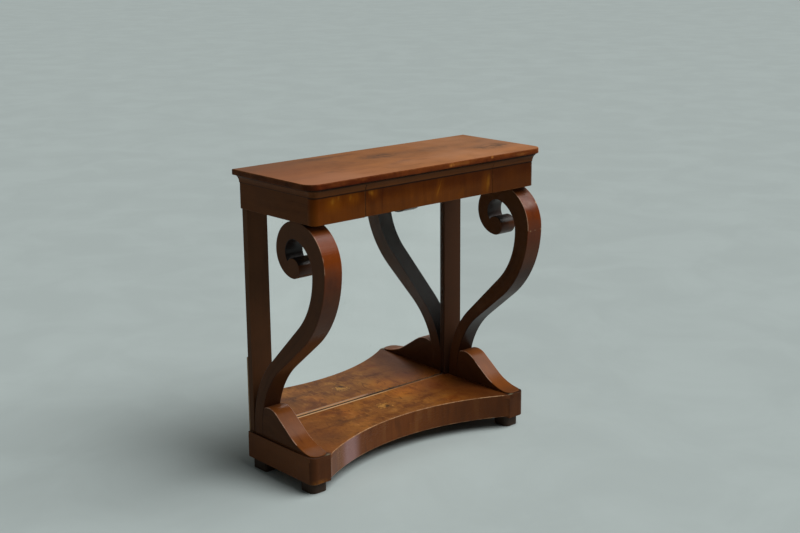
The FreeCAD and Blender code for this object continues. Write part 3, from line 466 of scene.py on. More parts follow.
# Worn spots on the top's edge: centre, reach, strength
TOP_WORN_SPOTS = (
    ((0.061, TOP_FRONT, 0.842), (0.014, 0.006, 0.008), 0.9),
    ((0.411, TOP_FRONT + 0.010, 0.843), (0.013, 0.013, 0.010), 1.0),
    ((0.215, TOP_FRONT, 0.846), (0.007, 0.004, 0.005), 0.8),
    ((-0.330, TOP_FRONT, 0.842), (0.050, 0.006, 0.007), 0.40),
    ((-0.255, TOP_FRONT, 0.844), (0.030, 0.006, 0.006), 0.45),
    ((0.100, TOP_FRONT, 0.843), (0.060, 0.006, 0.007), 0.35),
    ((0.330, TOP_FRONT, 0.841), (0.040, 0.006, 0.006), 0.35),
)
TOP_CHIP = (0.414, -0.150, 0.844)


def edge_marks(where, tint):
    """Redder in front, darker below and to the left, with worn spots, a chipped right-hand corner and
    painted shade on the left-hand end.
    """
    front = where.y.ease(-0.125, -0.140)
    tint = tint.shaded((0.98, 0.88, 0.75), front)
    tint = tint.shaded((0.75, 0.69, 0.73), front * where.z.ease(0.848, 0.835))
    ragged = where.noise(60.0, 4.0, 0.65)
    for centre, reach, strength in TOP_WORN_SPOTS:
        mask = where.spot(centre, reach) * ragged.ease(0.30, 0.60)
        tint = tint.painted((0.420, 0.150, 0.030), mask * strength)
    chip = where.spot(TOP_CHIP, (0.010, 0.014, 0.010), 0.3)
    tint = tint.painted((0.600, 0.360, 0.200), chip * ragged.ease(0.25, 0.45))
    tint = tint.shaded((0.58, 0.44, 0.46), front * where.x.ease(-0.10, -0.24))
    # Painted shade on the left-hand end of the edge
    return tint.painted((0.036, 0.013, 0.005), where.x.ease(-0.390, -0.420, 0.0, 0.6)), 0.0, 0.0


def seam_dirt(where):
    """Dark in the narrow joints at the ends of the drawer, less on the right, where it fits close."""
    gap = abs(abs(where.x) - DRAWER_HALF)
    return gap.ease(0.0024, 0.0008) * where.x.ease(-0.1, 0.1, 0.75, 0.2)


def cove_marks(where, tint):
    """Painted shadow, with grime, along the cove's upper and lower edge, and grime in the drawer's joints.
    """
    # Painted shadow under the top and over the frieze
    above = where.z.ease(COVE_HIGH - 0.0060, COVE_HIGH - 0.0025)
    below = where.z.ease(COVE_LOW + 0.0026, COVE_LOW + 0.0006)
    shadow_and_dirt = (above.larger(below) * 0.9).larger(seam_dirt(where))
    return tint.painted((0.008, 0.005, 0.004), shadow_and_dirt), 0.0, 0.0


def post_marks(where, tint):
    """The right-hand post is darker and greyer than the left, as painted shade."""
    tint = tint.painted((0.078, 0.047, 0.030), where.x.ease(0.0, -0.1, 0.0, 0.4))
    # Painted shade on the right-hand post
    return tint.painted((0.046, 0.024, 0.0155), where.x.ease(0.0, 0.1, 0.0, 0.75)), 0.0, 0.0


def side_marks(where, tint):
    """Paler low down, so that the plinth's sides are paler than the frieze's."""
    return tint.painted((0.180, 0.070, 0.032), where.z.ease(0.3, 0.2, 0.0, 0.5)), 0.0, 0.0


# Figure of the frieze's veneer: x, z, half width, half height, strength and slant
FRIEZE_GLOWS = (
    (-0.338, 0.790, 0.040, 0.036, 0.95, 0.0),
    (-0.272, 0.796, 0.040, 0.030, 0.75, 0.0),
    (-0.205, 0.800, 0.026, 0.024, 0.70, 0.0),
    (-0.080, 0.790, 0.075, 0.030, 0.15, 0.2),
    (0.028, 0.780, 0.022, 0.045, 0.40, 0.3),
    (0.114, 0.757, 0.020, 0.026, 0.35, 0.2),
    (0.205, 0.775, 0.024, 0.050, 0.50, 0.1),
    (0.310, 0.790, 0.050, 0.036, 0.12, 0.0),
)
FRIEZE_FLAMES = (
    (-0.339, 0.796, 0.011, 0.012, 0.80, 0.2),
    (-0.321, 0.803, 0.006, 0.010, 0.45, 0.2),
    (-0.281, 0.799, 0.006, 0.012, 0.50, 0.3),
    (-0.213, 0.802, 0.011, 0.010, 0.85, -0.4),
    (0.0263, 0.779, 0.004, 0.030, 0.60, 0.39),
    (0.2155, 0.771, 0.009, 0.038, 0.62, 0.11),
)


def flame_mask(where, rows, ragged):
    """Soft upright flecks at the listed places."""
    total = 0.0
    for x, z, wide, tall, strength, slant in rows:
        leaning = joined((where.z - z) * -slant + where.x, where.y, where.z)
        mask = leaning.spot((x, FRIEZE_FRONT, z), (wide, THROUGH, tall), 0.0)
        total = (mask * strength).larger(total)
    return total * ragged.ease(0.15, 0.60, 0.35, 1.0)


def frieze_marks(where, tint):
    """Brown painted floor reflection below, dark red painted shade above, glowing figure, painted shadow
    under the cove, grime in the joints.
    """
    sway = where.noise(45.0, 3.0, 0.6) - 0.5
    swayed = where + joined(sway * 0.012, 0.0, 0.0)
    ragged = swayed.noise((150.0, 60.0, 22.0), 4.0, 0.65)
    # Paler brown below: a painted reflection of the floor
    low = swayed.z.ease(FRIEZE_LOW + 0.058, FRIEZE_LOW + 0.020)
    tint = tint.painted((0.118, 0.038, 0.009), low * 0.45)
    # Dark red above: painted shade from the cove
    high = swayed.z.ease(FRIEZE_LOW + 0.026, FRIEZE_LOW + 0.056)
    tint = tint.painted((0.050, 0.009, 0.0003), high * 0.60)
    tint = tint.painted((0.052, 0.012, 0.002), swayed.x.ease(0.06, 0.26, 0.0, 0.45))
    tint = tint.painted((0.165, 0.038, 0.0005), swayed.x.ease(-0.22, -0.34, 0.0, 0.40))
    tint = tint.painted((0.195, 0.052, 0.001), flame_mask(swayed, FRIEZE_GLOWS, ragged))
    tint = tint.painted((0.270, 0.100, 0.007), flame_mask(swayed, FRIEZE_FLAMES, ragged))
    # Painted shadow under the cove, beside grime in the joints
    under = where.z.ease(COVE_LOW - 0.0040, COVE_LOW - 0.0008, 0.0, 0.8)
    return tint.painted((0.010, 0.005, 0.003), under.larger(seam_dirt(where))), 0.0, 0.0


# A knot in the plinth's top, and broad patches: centre, half width and depth, shares of each colour
KNOT = (0.005, 0.072, PLINTH_FACE)
KNOT_EYE = (0.010, 0.062, PLINTH_FACE)
BASE_PATCHES = (
    ((-0.165, 0.055), (0.036, 0.024), (0.52, 0.46, 0.60)),
    ((-0.250, 0.044), (0.100, 0.010), (0.75, 0.68, 0.70)),
    ((0.150, 0.045), (0.160, 0.011), (0.76, 0.66, 0.52)),
    ((-0.275, -0.025), (0.085, 0.060), (0.76, 0.78, 0.96)),
    ((-0.125, 0.012), (0.070, 0.032), (1.34, 1.40, 1.60)),
    ((-0.110, 0.090), (0.055, 0.048), (1.32, 1.24, 1.15)),
    ((0.235, 0.095), (0.052, 0.065), (0.84, 0.72, 0.76)),
    ((0.125, 0.110), (0.075, 0.058), (1.18, 1.03, 0.62)),
    ((0.195, -0.020), (0.042, 0.036), (0.90, 0.76, 0.72)),
    ((0.000, 0.128), (0.045, 0.026), (0.84, 0.80, 0.92)),
    ((0.008, 0.021), (0.030, 0.016), (1.50, 1.72, 2.00)),
    ((0.004, 0.046), (0.018, 0.009), (0.64, 0.54, 0.40)),
)


def base_marks(where, tint):
    """Blotches, burr and patches, a knot, a drying line, pale wear at the glass, a painted sheen at the
    back, painted shade at the right and painted shadow with grime on the ledges.
    """
    ragged = where.noise(55.0, 4.0, 0.65)
    # Blotches and burr
    drift = where.noise((8.0, 8.0, 10.0), 5.0, 0.66, 1.4)
    tint = tint.painted((0.400, 0.165, 0.026), drift.ease(0.50, 0.68, 0.0, 0.6))
    tint = tint.painted((0.130, 0.036, 0.008), drift.ease(0.47, 0.34, 0.0, 0.75))
    burr = where.noise((44.0, 18.0, 30.0), 5.0, 0.68, 1.8)
    tint = tint.painted((0.105, 0.032, 0.008), burr.ease(0.53, 0.66, 0.0, 0.70))
    tint = tint.painted((0.420, 0.185, 0.045), burr.ease(0.45, 0.33, 0.0, 0.50))
    # Redder towards both ends, paler at the back as a painted sheen, painted shade at the right
    ruddy = where.x.ease(0.06, 0.24).larger(where.x.ease(-0.14, -0.30))
    tint = tint.painted((0.165, 0.046, 0.008), ruddy * 0.6)
    tint = tint.shaded((1.20, 1.14, 1.03), where.y.ease(0.07, 0.14))
    painted_shade_right = where.x.ease(0.17, 0.31, 0.0, 0.78) * where.y.ease(0.15, 0.05, 0.35, 1.0)
    tint = tint.painted((0.050, 0.012, 0.003), painted_shade_right)
    # Broad patches with wandering edges
    sway = where.noise(26.0, 3.0, 0.6) * 0.05 - 0.025
    swayed = where + joined(sway, sway, 0.0)
    for (x, y), (wide, deep), shares in BASE_PATCHES:
        tint = tint.shaded(shares, swayed.spot((x, y, PLINTH_FACE), (wide, deep, THROUGH), 0.1))
    # The knot: pale wood, a thin dark ring and a dark eye
    wander = where.noise(62.0, 4.0, 0.7, 1.2) - 0.5
    distance = wander * 0.115 + (where - KNOT).length()
    pale = distance.ease(0.025, 0.008, 0.0, 0.9) * ragged.ease(0.34, 0.60)
    tint = tint.painted((0.560, 0.270, 0.055), pale)
    tint = tint.painted((0.080, 0.028, 0.008), abs(distance - 0.0235).ease(0.0045, 0.0008, 0.0, 0.50))
    eye = where.spot(KNOT_EYE, (0.017, 0.012, THROUGH), 0.3) * ragged.ease(0.62, 0.46, 0.0, 0.9)
    tint = tint.painted((0.045, 0.016, 0.003), eye)
    # A drying line, and pale wear along the glass
    line = where.spot((-0.150, 0.044, PLINTH_FACE), (0.130, 0.008, THROUGH), 0.1)
    tint = tint.painted((0.100, 0.036, 0.012), line * 0.55)
    strip = where.spot((0.0, MIRROR_FACE, PLINTH_FACE), (5.0, 0.0085, THROUGH), 0.4)
    strip = strip * ragged.ease(0.22, 0.45, 0.3, 1.0) * where.x.ease(-0.02, 0.16, 0.95, 0.12)
    tint = tint.painted((0.900, 0.640, 0.370), strip)
    # Painted shadow and grime on the ledges beside the brackets, bleached at their tips
    across = abs(where.x)
    ledge = across.ease(0.330, 0.344) * where.y.ease(-0.088, -0.102)
    tint = tint.painted((0.034, 0.016, 0.010), ledge.larger(across.ease(0.393, 0.398)) * 0.9)
    mirrored = joined(across, where.y, where.z)
    bleached = mirrored.spot((0.350, -0.1115, PLINTH_FACE), (0.013, 0.006, 0.006), 0.2)
    tint = tint.painted((0.300, 0.270, 0.170), bleached * ragged.ease(0.32, 0.5, 0.0, 0.7))
    return tint, burr.ease(0.57, 0.72, 0.0, 0.15), 0.0


def plinth_marks(where, tint):
    """Soft upright bands in the curved veneer, with painted shade to the right and a painted sheen to the
    left.
    """
    band = joined(where.x, 0.0, where.z * 0.15).noise(34.0, 3.0, 0.55)
    tint = tint.painted((0.072, 0.022, 0.005), band.ease(0.47, 0.36, 0.0, 0.5))
    tint = tint.painted((0.185, 0.068, 0.018), band.ease(0.54, 0.66, 0.0, 0.5))
    # Painted shade to the right
    tint = tint.painted((0.066, 0.019, 0.005), where.x.ease(0.02, 0.30, 0.0, 0.6))
    # A pale painted sheen to the left
    painted_sheen = where.x.between(-0.285, -0.245, -0.220, -0.175)
    tint = tint.painted((0.262, 0.122, 0.112), painted_sheen * 0.80)
    return tint, 0.0, where.x.ease(-0.12, -0.30, 0.0, 0.3).larger(painted_sheen * 0.7)


def corner_marks(where, tint):
    """Orange at the foot of the left-hand corner block: partly rubbed polish, partly a painted reflection
    of light from the floor.
    """
    mask = where.spot((-0.380, -0.112, 0.032), (0.044, 0.030, 0.017), 0.2)
    ragged = where.noise(60.0, 4.0, 0.65)
    return tint.painted((0.215, 0.075, 0.011), mask * ragged.ease(0.28, 0.66) * 0.8), 0.0, 0.0


# Chips on the front of the right-hand scroll: centre and reach
SCROLL_CHIPS = (
    ((0.398, -0.1575, 0.692), (0.006, 0.005, 0.006)),
    ((0.398, -0.1786, 0.618), (0.007, 0.005, 0.004)),
    ((0.372, -0.1785, 0.6175), (0.004, 0.004, 0.002)),
    ((0.353, -0.1785, 0.6170), (0.005, 0.004, 0.003)),
)


# Along the scroll's line, in metres: foot to 0.36, sweep to 0.54, belly to 0.68, crown to 0.73, then roll
def scroll_marks(where, tint):
    """Red and glossy round the crown, with chips and a painted highlight; painted shade down the sweep, at
    the ends and in the roll; a grey painted reflection behind; painted shadow under the frieze.
    """
    along = attribute(where.tree, "flow")
    left = along.z.ease(0.1, -0.1)
    right = along.z.ease(-0.1, 0.1)
    # Belly and crown, with chips and a painted highlight
    tint = tint.shaded((0.96, 0.66, 0.45), along.x.between(0.54, 0.60, 0.690, 0.715))
    ragged = where.noise(70.0, 3.0, 0.6)
    for centre, reach in SCROLL_CHIPS:
        tint = tint.painted((0.480, 0.300, 0.160), where.spot(centre, reach) * ragged.ease(0.3, 0.5))
    # A pale painted highlight on the right-hand scroll's crown
    painted_sheen = where.spot((0.362, -0.156, 0.691), (0.048, 0.034, 0.019), 0.1)
    tint = tint.painted((0.400, 0.275, 0.240), painted_sheen * ragged.ease(0.25, 0.65, 0.25, 0.55))
    cloud = where.noise(13.0, 4.0, 0.6).ease(0.46, 0.66)
    tint = tint.painted((0.075, 0.026, 0.014), cloud * 0.4)
    glow = along.x.between(0.58, 0.62, 0.67, 0.70)
    tint = tint.painted((0.250, 0.055, 0.004), glow * along.z.ease(0.1, -0.1, 0.06, 0.28))
    # Painted shade down the sweep, at both ends and in the hollow of the roll; a dark grey painted
    # reflection behind, with more painted shade there on the left-hand scroll
    tint = tint.painted((0.055, 0.019, 0.009), along.x.ease(0.66, 0.55, 0.0, 0.72))
    roll = along.x.ease(0.775, 0.815)
    ends = roll.larger(along.x.ease(0.36, 0.24, 0.0, 1.2))
    tint = tint.painted((0.034, 0.012, 0.005), ends * 0.65)
    behind = along.y.ease(0.002, -0.006, 0.0, 0.8)
    tint = tint.painted((0.030, 0.024, 0.023), behind)
    tint = tint.shaded((0.35, 0.30, 0.28), behind * left)
    # Painted shade low on the right-hand scroll
    tint = tint.shaded((0.50, 0.48, 0.46), along.x.ease(0.54, 0.48) * right)
    # Painted shadow of the frieze over the top of the crown
    painted_frieze_shadow = along.x.between(0.712, 0.730, 0.77, 0.80)
    tint = tint.painted((0.010, 0.005, 0.004), painted_frieze_shadow * 0.85)
    # Fresh polish on the crown, more to the right
    crown = along.x.between(0.678, 0.708, 0.714, 0.730) * along.y.ease(0.004, 0.012)
    fresh = (crown * along.z.ease(-0.1, 0.1, 0.32, 0.60)).larger(roll * 0.20)
    return tint, cloud * 0.2, fresh


# Along the bracket's line, in metres: hump to 0.05, slope to 0.165, tip from 0.19 on
def bracket_marks(where, tint):
    """Painted shade, dark and dull, where the bracket meets the scroll, brown with wax at its tip."""
    along = attribute(where.tree, "flow")
    # Painted shade from the scroll on the bracket's hump
    hump = along.x.ease(0.052, 0.020)
    tint = tint.painted((0.060, 0.022, 0.008), hump * 0.6)
    tip = along.x.ease(0.190, 0.235)
    tint = tint.painted((0.110, 0.036, 0.009), tip * 0.55)
    slope = along.x.between(0.050, 0.075, 0.120, 0.165)
    return tint, hump + tip * 0.6, slope * along.z.ease(0.1, -0.1, 0.17, 0.33)


# The old plate is neither flat nor square in its frame, as the photograph's reflection shows
FOOT_LEAN = math.tan(math.radians(1.4))
HEAD_LEAN = math.tan(math.radians(0.4))
PLATE_TURN = math.tan(math.radians(1.3))


def leaning_normal(height):
    """The surface's own normal, turned to the right and tipped down by an amount that falls with height."""
    own = Signal(place(height.tree, "ShaderNodeNewGeometry").outputs["Normal"])
    lean = height.ease(MIRROR_LOW.z, MIRROR_HIGH.z, -FOOT_LEAN, -HEAD_LEAN)
    return (own + joined(PLATE_TURN, 0.0, lean)).work("NORMALIZE")


def old_mirror():
    """A silvered plate with a dark, partly bared foot, tarnished edges, faint specks and dust higher up."""
    material, shader, where = new_material("old_mirror")
    ragged = where.noise(30.0, 4.0, 0.65)
    below = where.z - MIRROR_LOW.z
    edge = (MIRROR_HIGH.x - abs(where.x)).smaller((MIRROR_HIGH.z - where.z).smaller(below))
    # Tarnish, specks and haze in the silver
    tarnish = (ragged * -0.016 + edge).ease(0.0, -0.009)
    specks = where.noise(120.0, 2.0).ease(0.70, 0.78)
    haze = where.noise(5.0, 4.0).ease(0.4, 0.7)
    silver = blend(haze * 0.12, tuple(bpy.context.scene.pier_finish.glass), (0.640, 0.700, 0.690))
    silver = silver.painted((0.250, 0.240, 0.210), specks * 0.35)
    silver = silver.painted((0.120, 0.105, 0.085), tarnish * 0.7)
    # At the foot a bared strip on the left, and a dark line
    bared = below.ease(0.0105, 0.0075) * where.x.ease(0.06, -0.04) * ragged.ease(0.25, 0.50, 0.6, 1.0)
    silver = silver.painted((0.860, 0.560, 0.310), bared)
    foot = (below - where.x.ease(-0.02, 0.12, 0.0, 0.0010)).ease(0.0046, 0.0034)
    foot = foot * where.x.ease(-0.02, 0.28, 0.95, 0.20)
    # Old glass is a little wavy, and dusty higher up
    rough = tarnish * 0.3 + (specks * 0.1 + 0.012)
    wave = where.noise((3.0, 3.0, 2.0), 1.0)
    dust = where.z.ease(0.22, 0.44) * ragged.ease(0.2, 0.8, 0.7, 1.0)
    connect(shader, Base_Color=silver.painted((0.060, 0.026, 0.008), foot), Roughness=foot * 0.6 + rough,
            Normal=wave.bump(0.02, 0.02, Normal=leaning_normal(where.z)),
            Metallic=bared * -0.9 + (dust * -0.07 + 1.0))
    return material


def old_iron():
    """Hand-made iron with brown rust in its hollows."""
    material, shader, where = new_material("old_iron")
    rust = where.noise(420.0, 4.0, 0.65).ease(0.42, 0.66)
    colour = blend(rust, tuple(bpy.context.scene.pier_finish.iron), (0.150, 0.060, 0.024))
    connect(shader, Base_Color=colour, Roughness=rust * 0.35 + 0.45, Metallic=rust * -0.7 + 0.9,
            Normal=where.noise(1500.0, 2.0).bump(0.4, 0.0002))
    return material


# Materials, each made once: finish, grain, seed and marks
TIMBERS = {
    "faded_top": ("top", "across", 0.3, top_marks),
    "frieze_veneer": ("frieze", "upright", 1.7, frieze_marks),
    "dark_deep": ("dark", "deep", 3.4, side_marks),
    "dark_upright": ("dark", "upright", 4.2, post_marks),
    "cove_flow": ("dark", "flow", 5.8, cove_marks),
    "cove_across": ("dark", "across", 2.7, cove_marks),
    "scroll_veneer": ("scroll", "flow", 6.1, scroll_marks),
    "bracket_veneer": ("bracket", "flow", 6.6, bracket_marks),
    "scroll_side": ("side", "flow", 5.1, None),
    "corner_veneer": ("corner", "upright", 8.1, corner_marks),
    "top_edge": ("edge", "across", 0.8, edge_marks),
    "foot_deep": ("foot", "deep", 3.9, None),
    "plinth_veneer": ("plinth", "upright", 7.7, plinth_marks),
    "base_veneer": ("base", "across", 8.3, base_marks),
    "pine_across": ("pine", "across", 9.2, None),
    "pine_deep": ("pine", "deep", 10.6, None),
    "oak_across": ("oak", "across", 11.5, None),
    "oak_deep": ("oak", "deep", 12.9, None),
}


def finish_named(name):
    """The material of that name, made when it is first asked for."""
    makers = {"old_mirror": old_mirror, "old_iron": old_iron}
    if name in bpy.data.materials:
        return bpy.data.materials[name]
    return makers[name]() if name in makers else timber(name, *TIMBERS[name])


# Pieces made from the frame's own shapes
WELD = 1e-5
FLAT_ANGLE = math.radians(0.4)
OUTER_ANGLE = math.radians(30.0)
CORNER_ANGLE = math.radians(60.0)
CREASE_ANGLE = math.radians(50.0)
AREA_TOLERANCE = 0.004
SLICE = 0.012


def merged_copy(node):
    """A node's shape as one connected mesh with whole flat faces."""
    shape = bmesh.new()
    shape.from_mesh(frame["nodes"][node].data)
    bmesh.ops.remove_doubles(shape, verts=shape.verts, dist=WELD)
    bmesh.ops.dissolve_limit(shape, angle_limit=FLAT_ANGLE, verts=shape.verts, edges=shape.edges)
    return shape


def lies_level(edge, height):
    return all(abs(corner.co.z - height) < 1e-4 for corner in edge.verts)


def outer_edges(shape, angle):
    """Edges that stand out and turn by more than an angle."""
    return [edge for edge in shape.edges
            if len(edge.link_faces) == 2 and edge.is_convex and edge.calc_face_angle() > angle]


def round_edges(shape, edges, width, segments, clamp=True):
    """Round edges, and give the faces of the new strips."""
    return bmesh.ops.bevel(shape, geom=edges, offset=width, offset_type="OFFSET", segments=segments,
                           profile=0.5, affect="EDGES", clamp_overlap=clamp, material=-1)["faces"]


def soften(shape, width, band, joint):
    """Round the outer edges and mark them as worn; edges in a joint stay sharp."""
    sharp = [edge for edge in outer_edges(shape, OUTER_ANGLE) if not (joint and lies_level(edge, joint))]
    return mark_wear(shape, round_edges(shape, sharp, width, 2, False), band)


def upright_corners(shape):
    """A block's upright edges."""
    return [edge for edge in outer_edges(shape, CORNER_ANGLE)
            if abs(edge.verts[0].co.z - edge.verts[1].co.z) > 0.9 * edge.calc_length()]


def cut(shape, point, normal, clear=False):
    """Cut a shape by a plane, and where asked clear away what lies beyond."""
    whole = [*shape.verts, *shape.edges, *shape.faces]
    return bmesh.ops.bisect_plane(shape, geom=whole, dist=1e-6, plane_co=point, plane_no=normal,
                                  clear_outer=clear)["geom_cut"]


def round_tip(shape, node, radius):
    """Round the inner front corner of a bracket's tip, seen from above."""
    low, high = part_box(node)
    inner = low.x if low.x > 0.0 else high.x
    side = -math.copysign(1.0, inner)
    centre = Vector((inner - side * radius, low.y + radius, 0.0))
    for degrees in (15.0, 30.0, 45.0, 60.0, 75.0):
        angle = math.radians(degrees)
        outward = Vector((side * math.cos(angle), -math.sin(angle), 0.0))
        new = cut(shape, centre + outward * radius, outward, True)
        rim = [item for item in new if isinstance(item, bmesh.types.BMEdge)]
        bmesh.ops.contextual_create(shape, geom=rim)
    bmesh.ops.recalc_face_normals(shape, faces=shape.faces)


def surface_area(shape):
    """Area of the triangles that a shape would be drawn with."""
    drawn = shape.copy()
    bmesh.ops.triangulate(drawn, faces=drawn.faces)
    area = sum(face.calc_area() for face in drawn.faces)
    drawn.free()
    return area


def mark_wear(shape, strips, band):
    """Mark rounded strips, and where there is room a band that fades beside them, as worn."""
    shape.faces.index_update()
    numbers = {face.index for face in strips}
    shape.loops.layers.float.new("edge_wear")
    strip = shape.faces.layers.int.new("strip")
    for face in shape.faces:
        face[strip] = int(face.index in numbers)
    plain = shape.copy()
    flats = [face for face in shape.faces if not face[strip]]
    bmesh.ops.inset_region(shape, faces=flats, use_boundary=True, use_even_offset=True, thickness=band,
                           depth=0.0)
    # A band that doesn't fit overlaps itself, which changes the area
    roomy = abs(surface_area(shape) / surface_area(plain) - 1.0) < AREA_TOLERANCE
    if roomy:
        plain.free()
    else:
        shape.free()
        shape = plain
    wear = shape.loops.layers.float["edge_wear"]
    strip = shape.faces.layers.int["strip"]
    rim = {corner for face in shape.faces if face[strip] for corner in face.verts}
    for face in shape.faces:
        for loop in face.loops:
            loop[wear] = float(loop.vert in rim if roomy else face[strip])
    for edge in shape.edges:
        edge.smooth = len(edge.link_faces) == 2 and edge.calc_face_angle() < CREASE_ANGLE
    return shape


def slice_up(shape, axis):
    """Cut a shape by even planes, so that a flow along it has points to follow."""
    low = min(corner.co[axis] for corner in shape.verts)
    high = max(corner.co[axis] for corner in shape.verts)
    normal = Vector((0.0, 0.0, 0.0))
    normal[axis] = 1.0
    for number in range(1, int((high - low) / SLICE)):
        cut(shape, normal * (low + number * SLICE), normal)


def follow_line(shape, line, axes):
    """Give each point its distance along a drawn line, its offset from it and its third coordinate."""
    flow = shape.verts.layers.float_vector.new("flow")
    first, second, third = axes
    points = [Vector(point) for point in line]
    for corner in shape.verts:
        here = Vector((corner.co[first], corner.co[second]))
        best = None
        travelled = 0.0
        for start, end in zip(points, points[1:]):
            run = end - start
            share = min(1.0, max(0.0, (here - start).dot(run) / run.length_squared))
            gap = here - (start + run * share)
            if best is None or gap.length < best[0]:
                side = run.x * gap.y - run.y * gap.x
                best = (gap.length, travelled + run.length * share, math.copysign(gap.length, side))
            travelled += run.length
        corner[flow] = Vector((best[1], best[2], corner.co[third]))


def put_in_scene(name, data):
    made = bpy.data.objects.new(name, data)
    bpy.context.scene.collection.objects.link(made)
    return made


def new_object(name, shape, material):
    """An object with a shape's mesh and one material."""
    mesh = bpy.data.meshes.new(name)
    shape.to_mesh(mesh)
    shape.free()
    mesh.materials.append(material)
    return put_in_scene(name, mesh)


def finish_piece(shape, node, material):
    """Make a shaped mesh the piece that stands for a node, on that node's body."""
    piece = new_object("finished_" + node, shape, finish_named(material))
    piece.data.shade_smooth()
    even = piece.modifiers.new("even shading", "WEIGHTED_NORMAL")
    even.keep_sharp = True
    even.weight = 100
    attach(piece, BODY_OF[node])
    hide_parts(node)
    return piece


def dress(material, *nodes, bare=False, width=None, line=None, axes=None, sliced=(), joint=None,
          shaped=None):
    """The finished pieces of some nodes, with soft worn edges and grain along a line, if one is given.

    A function given as shaped works on each shape first, the axes in sliced are those that it is cut
    along, and edges at the height of a joint stay sharp.
    """
    sizes = bpy.context.scene.pier_shape
    width = width or (sizes.sharp_edge if bare else sizes.soft_edge)
    pieces = []
    for node in nodes:
        shape = merged_copy(node)
        if shaped:
            shaped(shape, node)
        shape = soften(shape, width, sizes.worn_band, joint)
        for axis in sliced:
            slice_up(shape, axis)
        if line:
            follow_line(shape, line, axes)
        pieces.append(finish_piece(shape, node, material))
    return pieces


def veneer(piece, material, chosen):
    """Give the faces that a test picks out a veneer of their own."""
    piece.data.materials.append(finish_named(material))
    for face in piece.data.polygons:
        if chosen(face):
            face.material_index = len(piece.data.materials) - 1


# Limits of a face's normal: sideways beyond the first two, upright below the third
SIDE_FACE = 0.97
END_FACE = 0.9
LEVEL_FACE = 0.5


def faces_aside(face):
    return abs(face.normal.x) > SIDE_FACE


def spare_wear(piece, spared):
    """No wear at the corners that a test picks out."""
    mesh = piece.data
    for loop, worn in zip(mesh.loops, mesh.attributes["edge_wear"].data):
        if spared(mesh.vertices[loop.vertex_index]):
            worn.value = 0.0


def tint_nodes(material, *nodes):
    """Nodes whose own shapes stay get a material."""
    for node in nodes:
        mesh = frame["nodes"][node].data
        mesh.materials.clear()
        mesh.materials.append(finish_named(material))


def pairs(*stems):
    """The left and the right node of each stem."""
    return [stem + side for stem in stems for side in ("_left", "_right")]


# Lines that the veneer follows, as depth and height in metres from the back plane and the floor
SCROLL_LINE = (
    (0.044, 0.100), (0.046, 0.150), (0.062, 0.215), (0.098, 0.290), (0.150, 0.345), (0.205, 0.390),
    (0.262, 0.450), (0.304, 0.520), (0.327, 0.600), (0.322, 0.660), (0.292, 0.705), (0.240, 0.718),
    (0.196, 0.705), (0.170, 0.665), (0.172, 0.625), (0.200, 0.602), (0.222, 0.614),
)
BRACKET_LINE = (
    (0.064, 0.186), (0.095, 0.196), (0.122, 0.185), (0.160, 0.152), (0.205, 0.124), (0.250, 0.112),
    (0.290, 0.108),
)


def side_view(line):
    """Points of depth and height as the frame's y and z."""
    return [(BACK_Y - depth, height) for depth, height in line]


# Radii of the top's front corners and of its arris, and how upright the faces of its edge are
TOP_CORNER = 0.037
TOP_ARRIS = 0.0025
EDGE_STEEPNESS = 0.95


def make_top_board():
    """The top board: square at the back, round at its front corners, with a softly rounded arris."""
    low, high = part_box("table_top")
    middle = (low + high) / 2
    shape = bmesh.new()
    spread = Matrix.Diagonal((*(high - low), 1.0))
    bmesh.ops.create_cube(shape, size=1.0, matrix=Matrix.Translation(middle) @ spread)
    front = [edge for edge in upright_corners(shape) if edge.verts[0].co.y < middle.y]
    round_edges(shape, front, TOP_CORNER, 12)
    rim = [edge for edge in shape.edges if lies_level(edge, low.z) or lies_level(edge, high.z)]
    strips = round_edges(shape, rim, TOP_ARRIS, 4)
    shape = mark_wear(shape, strips, bpy.context.scene.pier_shape.worn_band)
    board = finish_piece(shape, "table_top", "faded_top")
    veneer(board, "top_edge", lambda face: abs(face.normal.z) < EDGE_STEEPNESS)
    spare_wear(board, lambda corner: corner.co.z < middle.z)


def separate_parts(mesh):
    """Corner points of each loose part of a mesh, in the mesh's own order."""
    shape = bmesh.new()
    shape.from_mesh(mesh)
    bmesh.ops.remove_doubles(shape, verts=shape.verts, dist=1e-6)
    waiting = dict.fromkeys(shape.verts)
    parts = []
    while waiting:
        front = [waiting.popitem()[0]]
        part = []
        while front:
            corner = front.pop()
            part.append(corner.co.copy())
            for edge in corner.link_edges:
                other = edge.other_vert(corner)
                if other in waiting:
                    del waiting[other]
                    front.append(other)
        parts.append(part)
    shape.free()
    return parts


# How far a nail's head stands proud of the back
NAIL_RISE = 0.0009


def make_nail_heads(width):
    """Low hammered heads on the nails of the back, each turned a little differently."""
    shape = bmesh.new()
    nails = separate_parts(frame["nodes"]["back_nails"].data)
    nails.sort(key=lambda part: (round(part[0].z, 4), round(part[0].x, 4)))
    for number, part in enumerate(nails):
        x = sum(point.x for point in part) / len(part)
        z = sum(point.z for point in part) / len(part)
        y = max(point.y for point in part)
        turn = Matrix.Rotation(0.7 * number, 4, "Y") @ Matrix.Rotation(math.radians(-90.0), 4, "X")
        bmesh.ops.create_cone(shape, cap_ends=True, cap_tris=False, segments=7, radius1=width / 2,
                              radius2=width / 5, depth=NAIL_RISE,
                              matrix=Matrix.Translation((x, y + NAIL_RISE / 2, z)) @ turn)
    heads = new_object("nail_heads", shape, finish_named("old_iron"))
    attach(heads, BODY_OF["back_nails"])


class PierTableOperator:
    bl_options = {"REGISTER", "UNDO"}


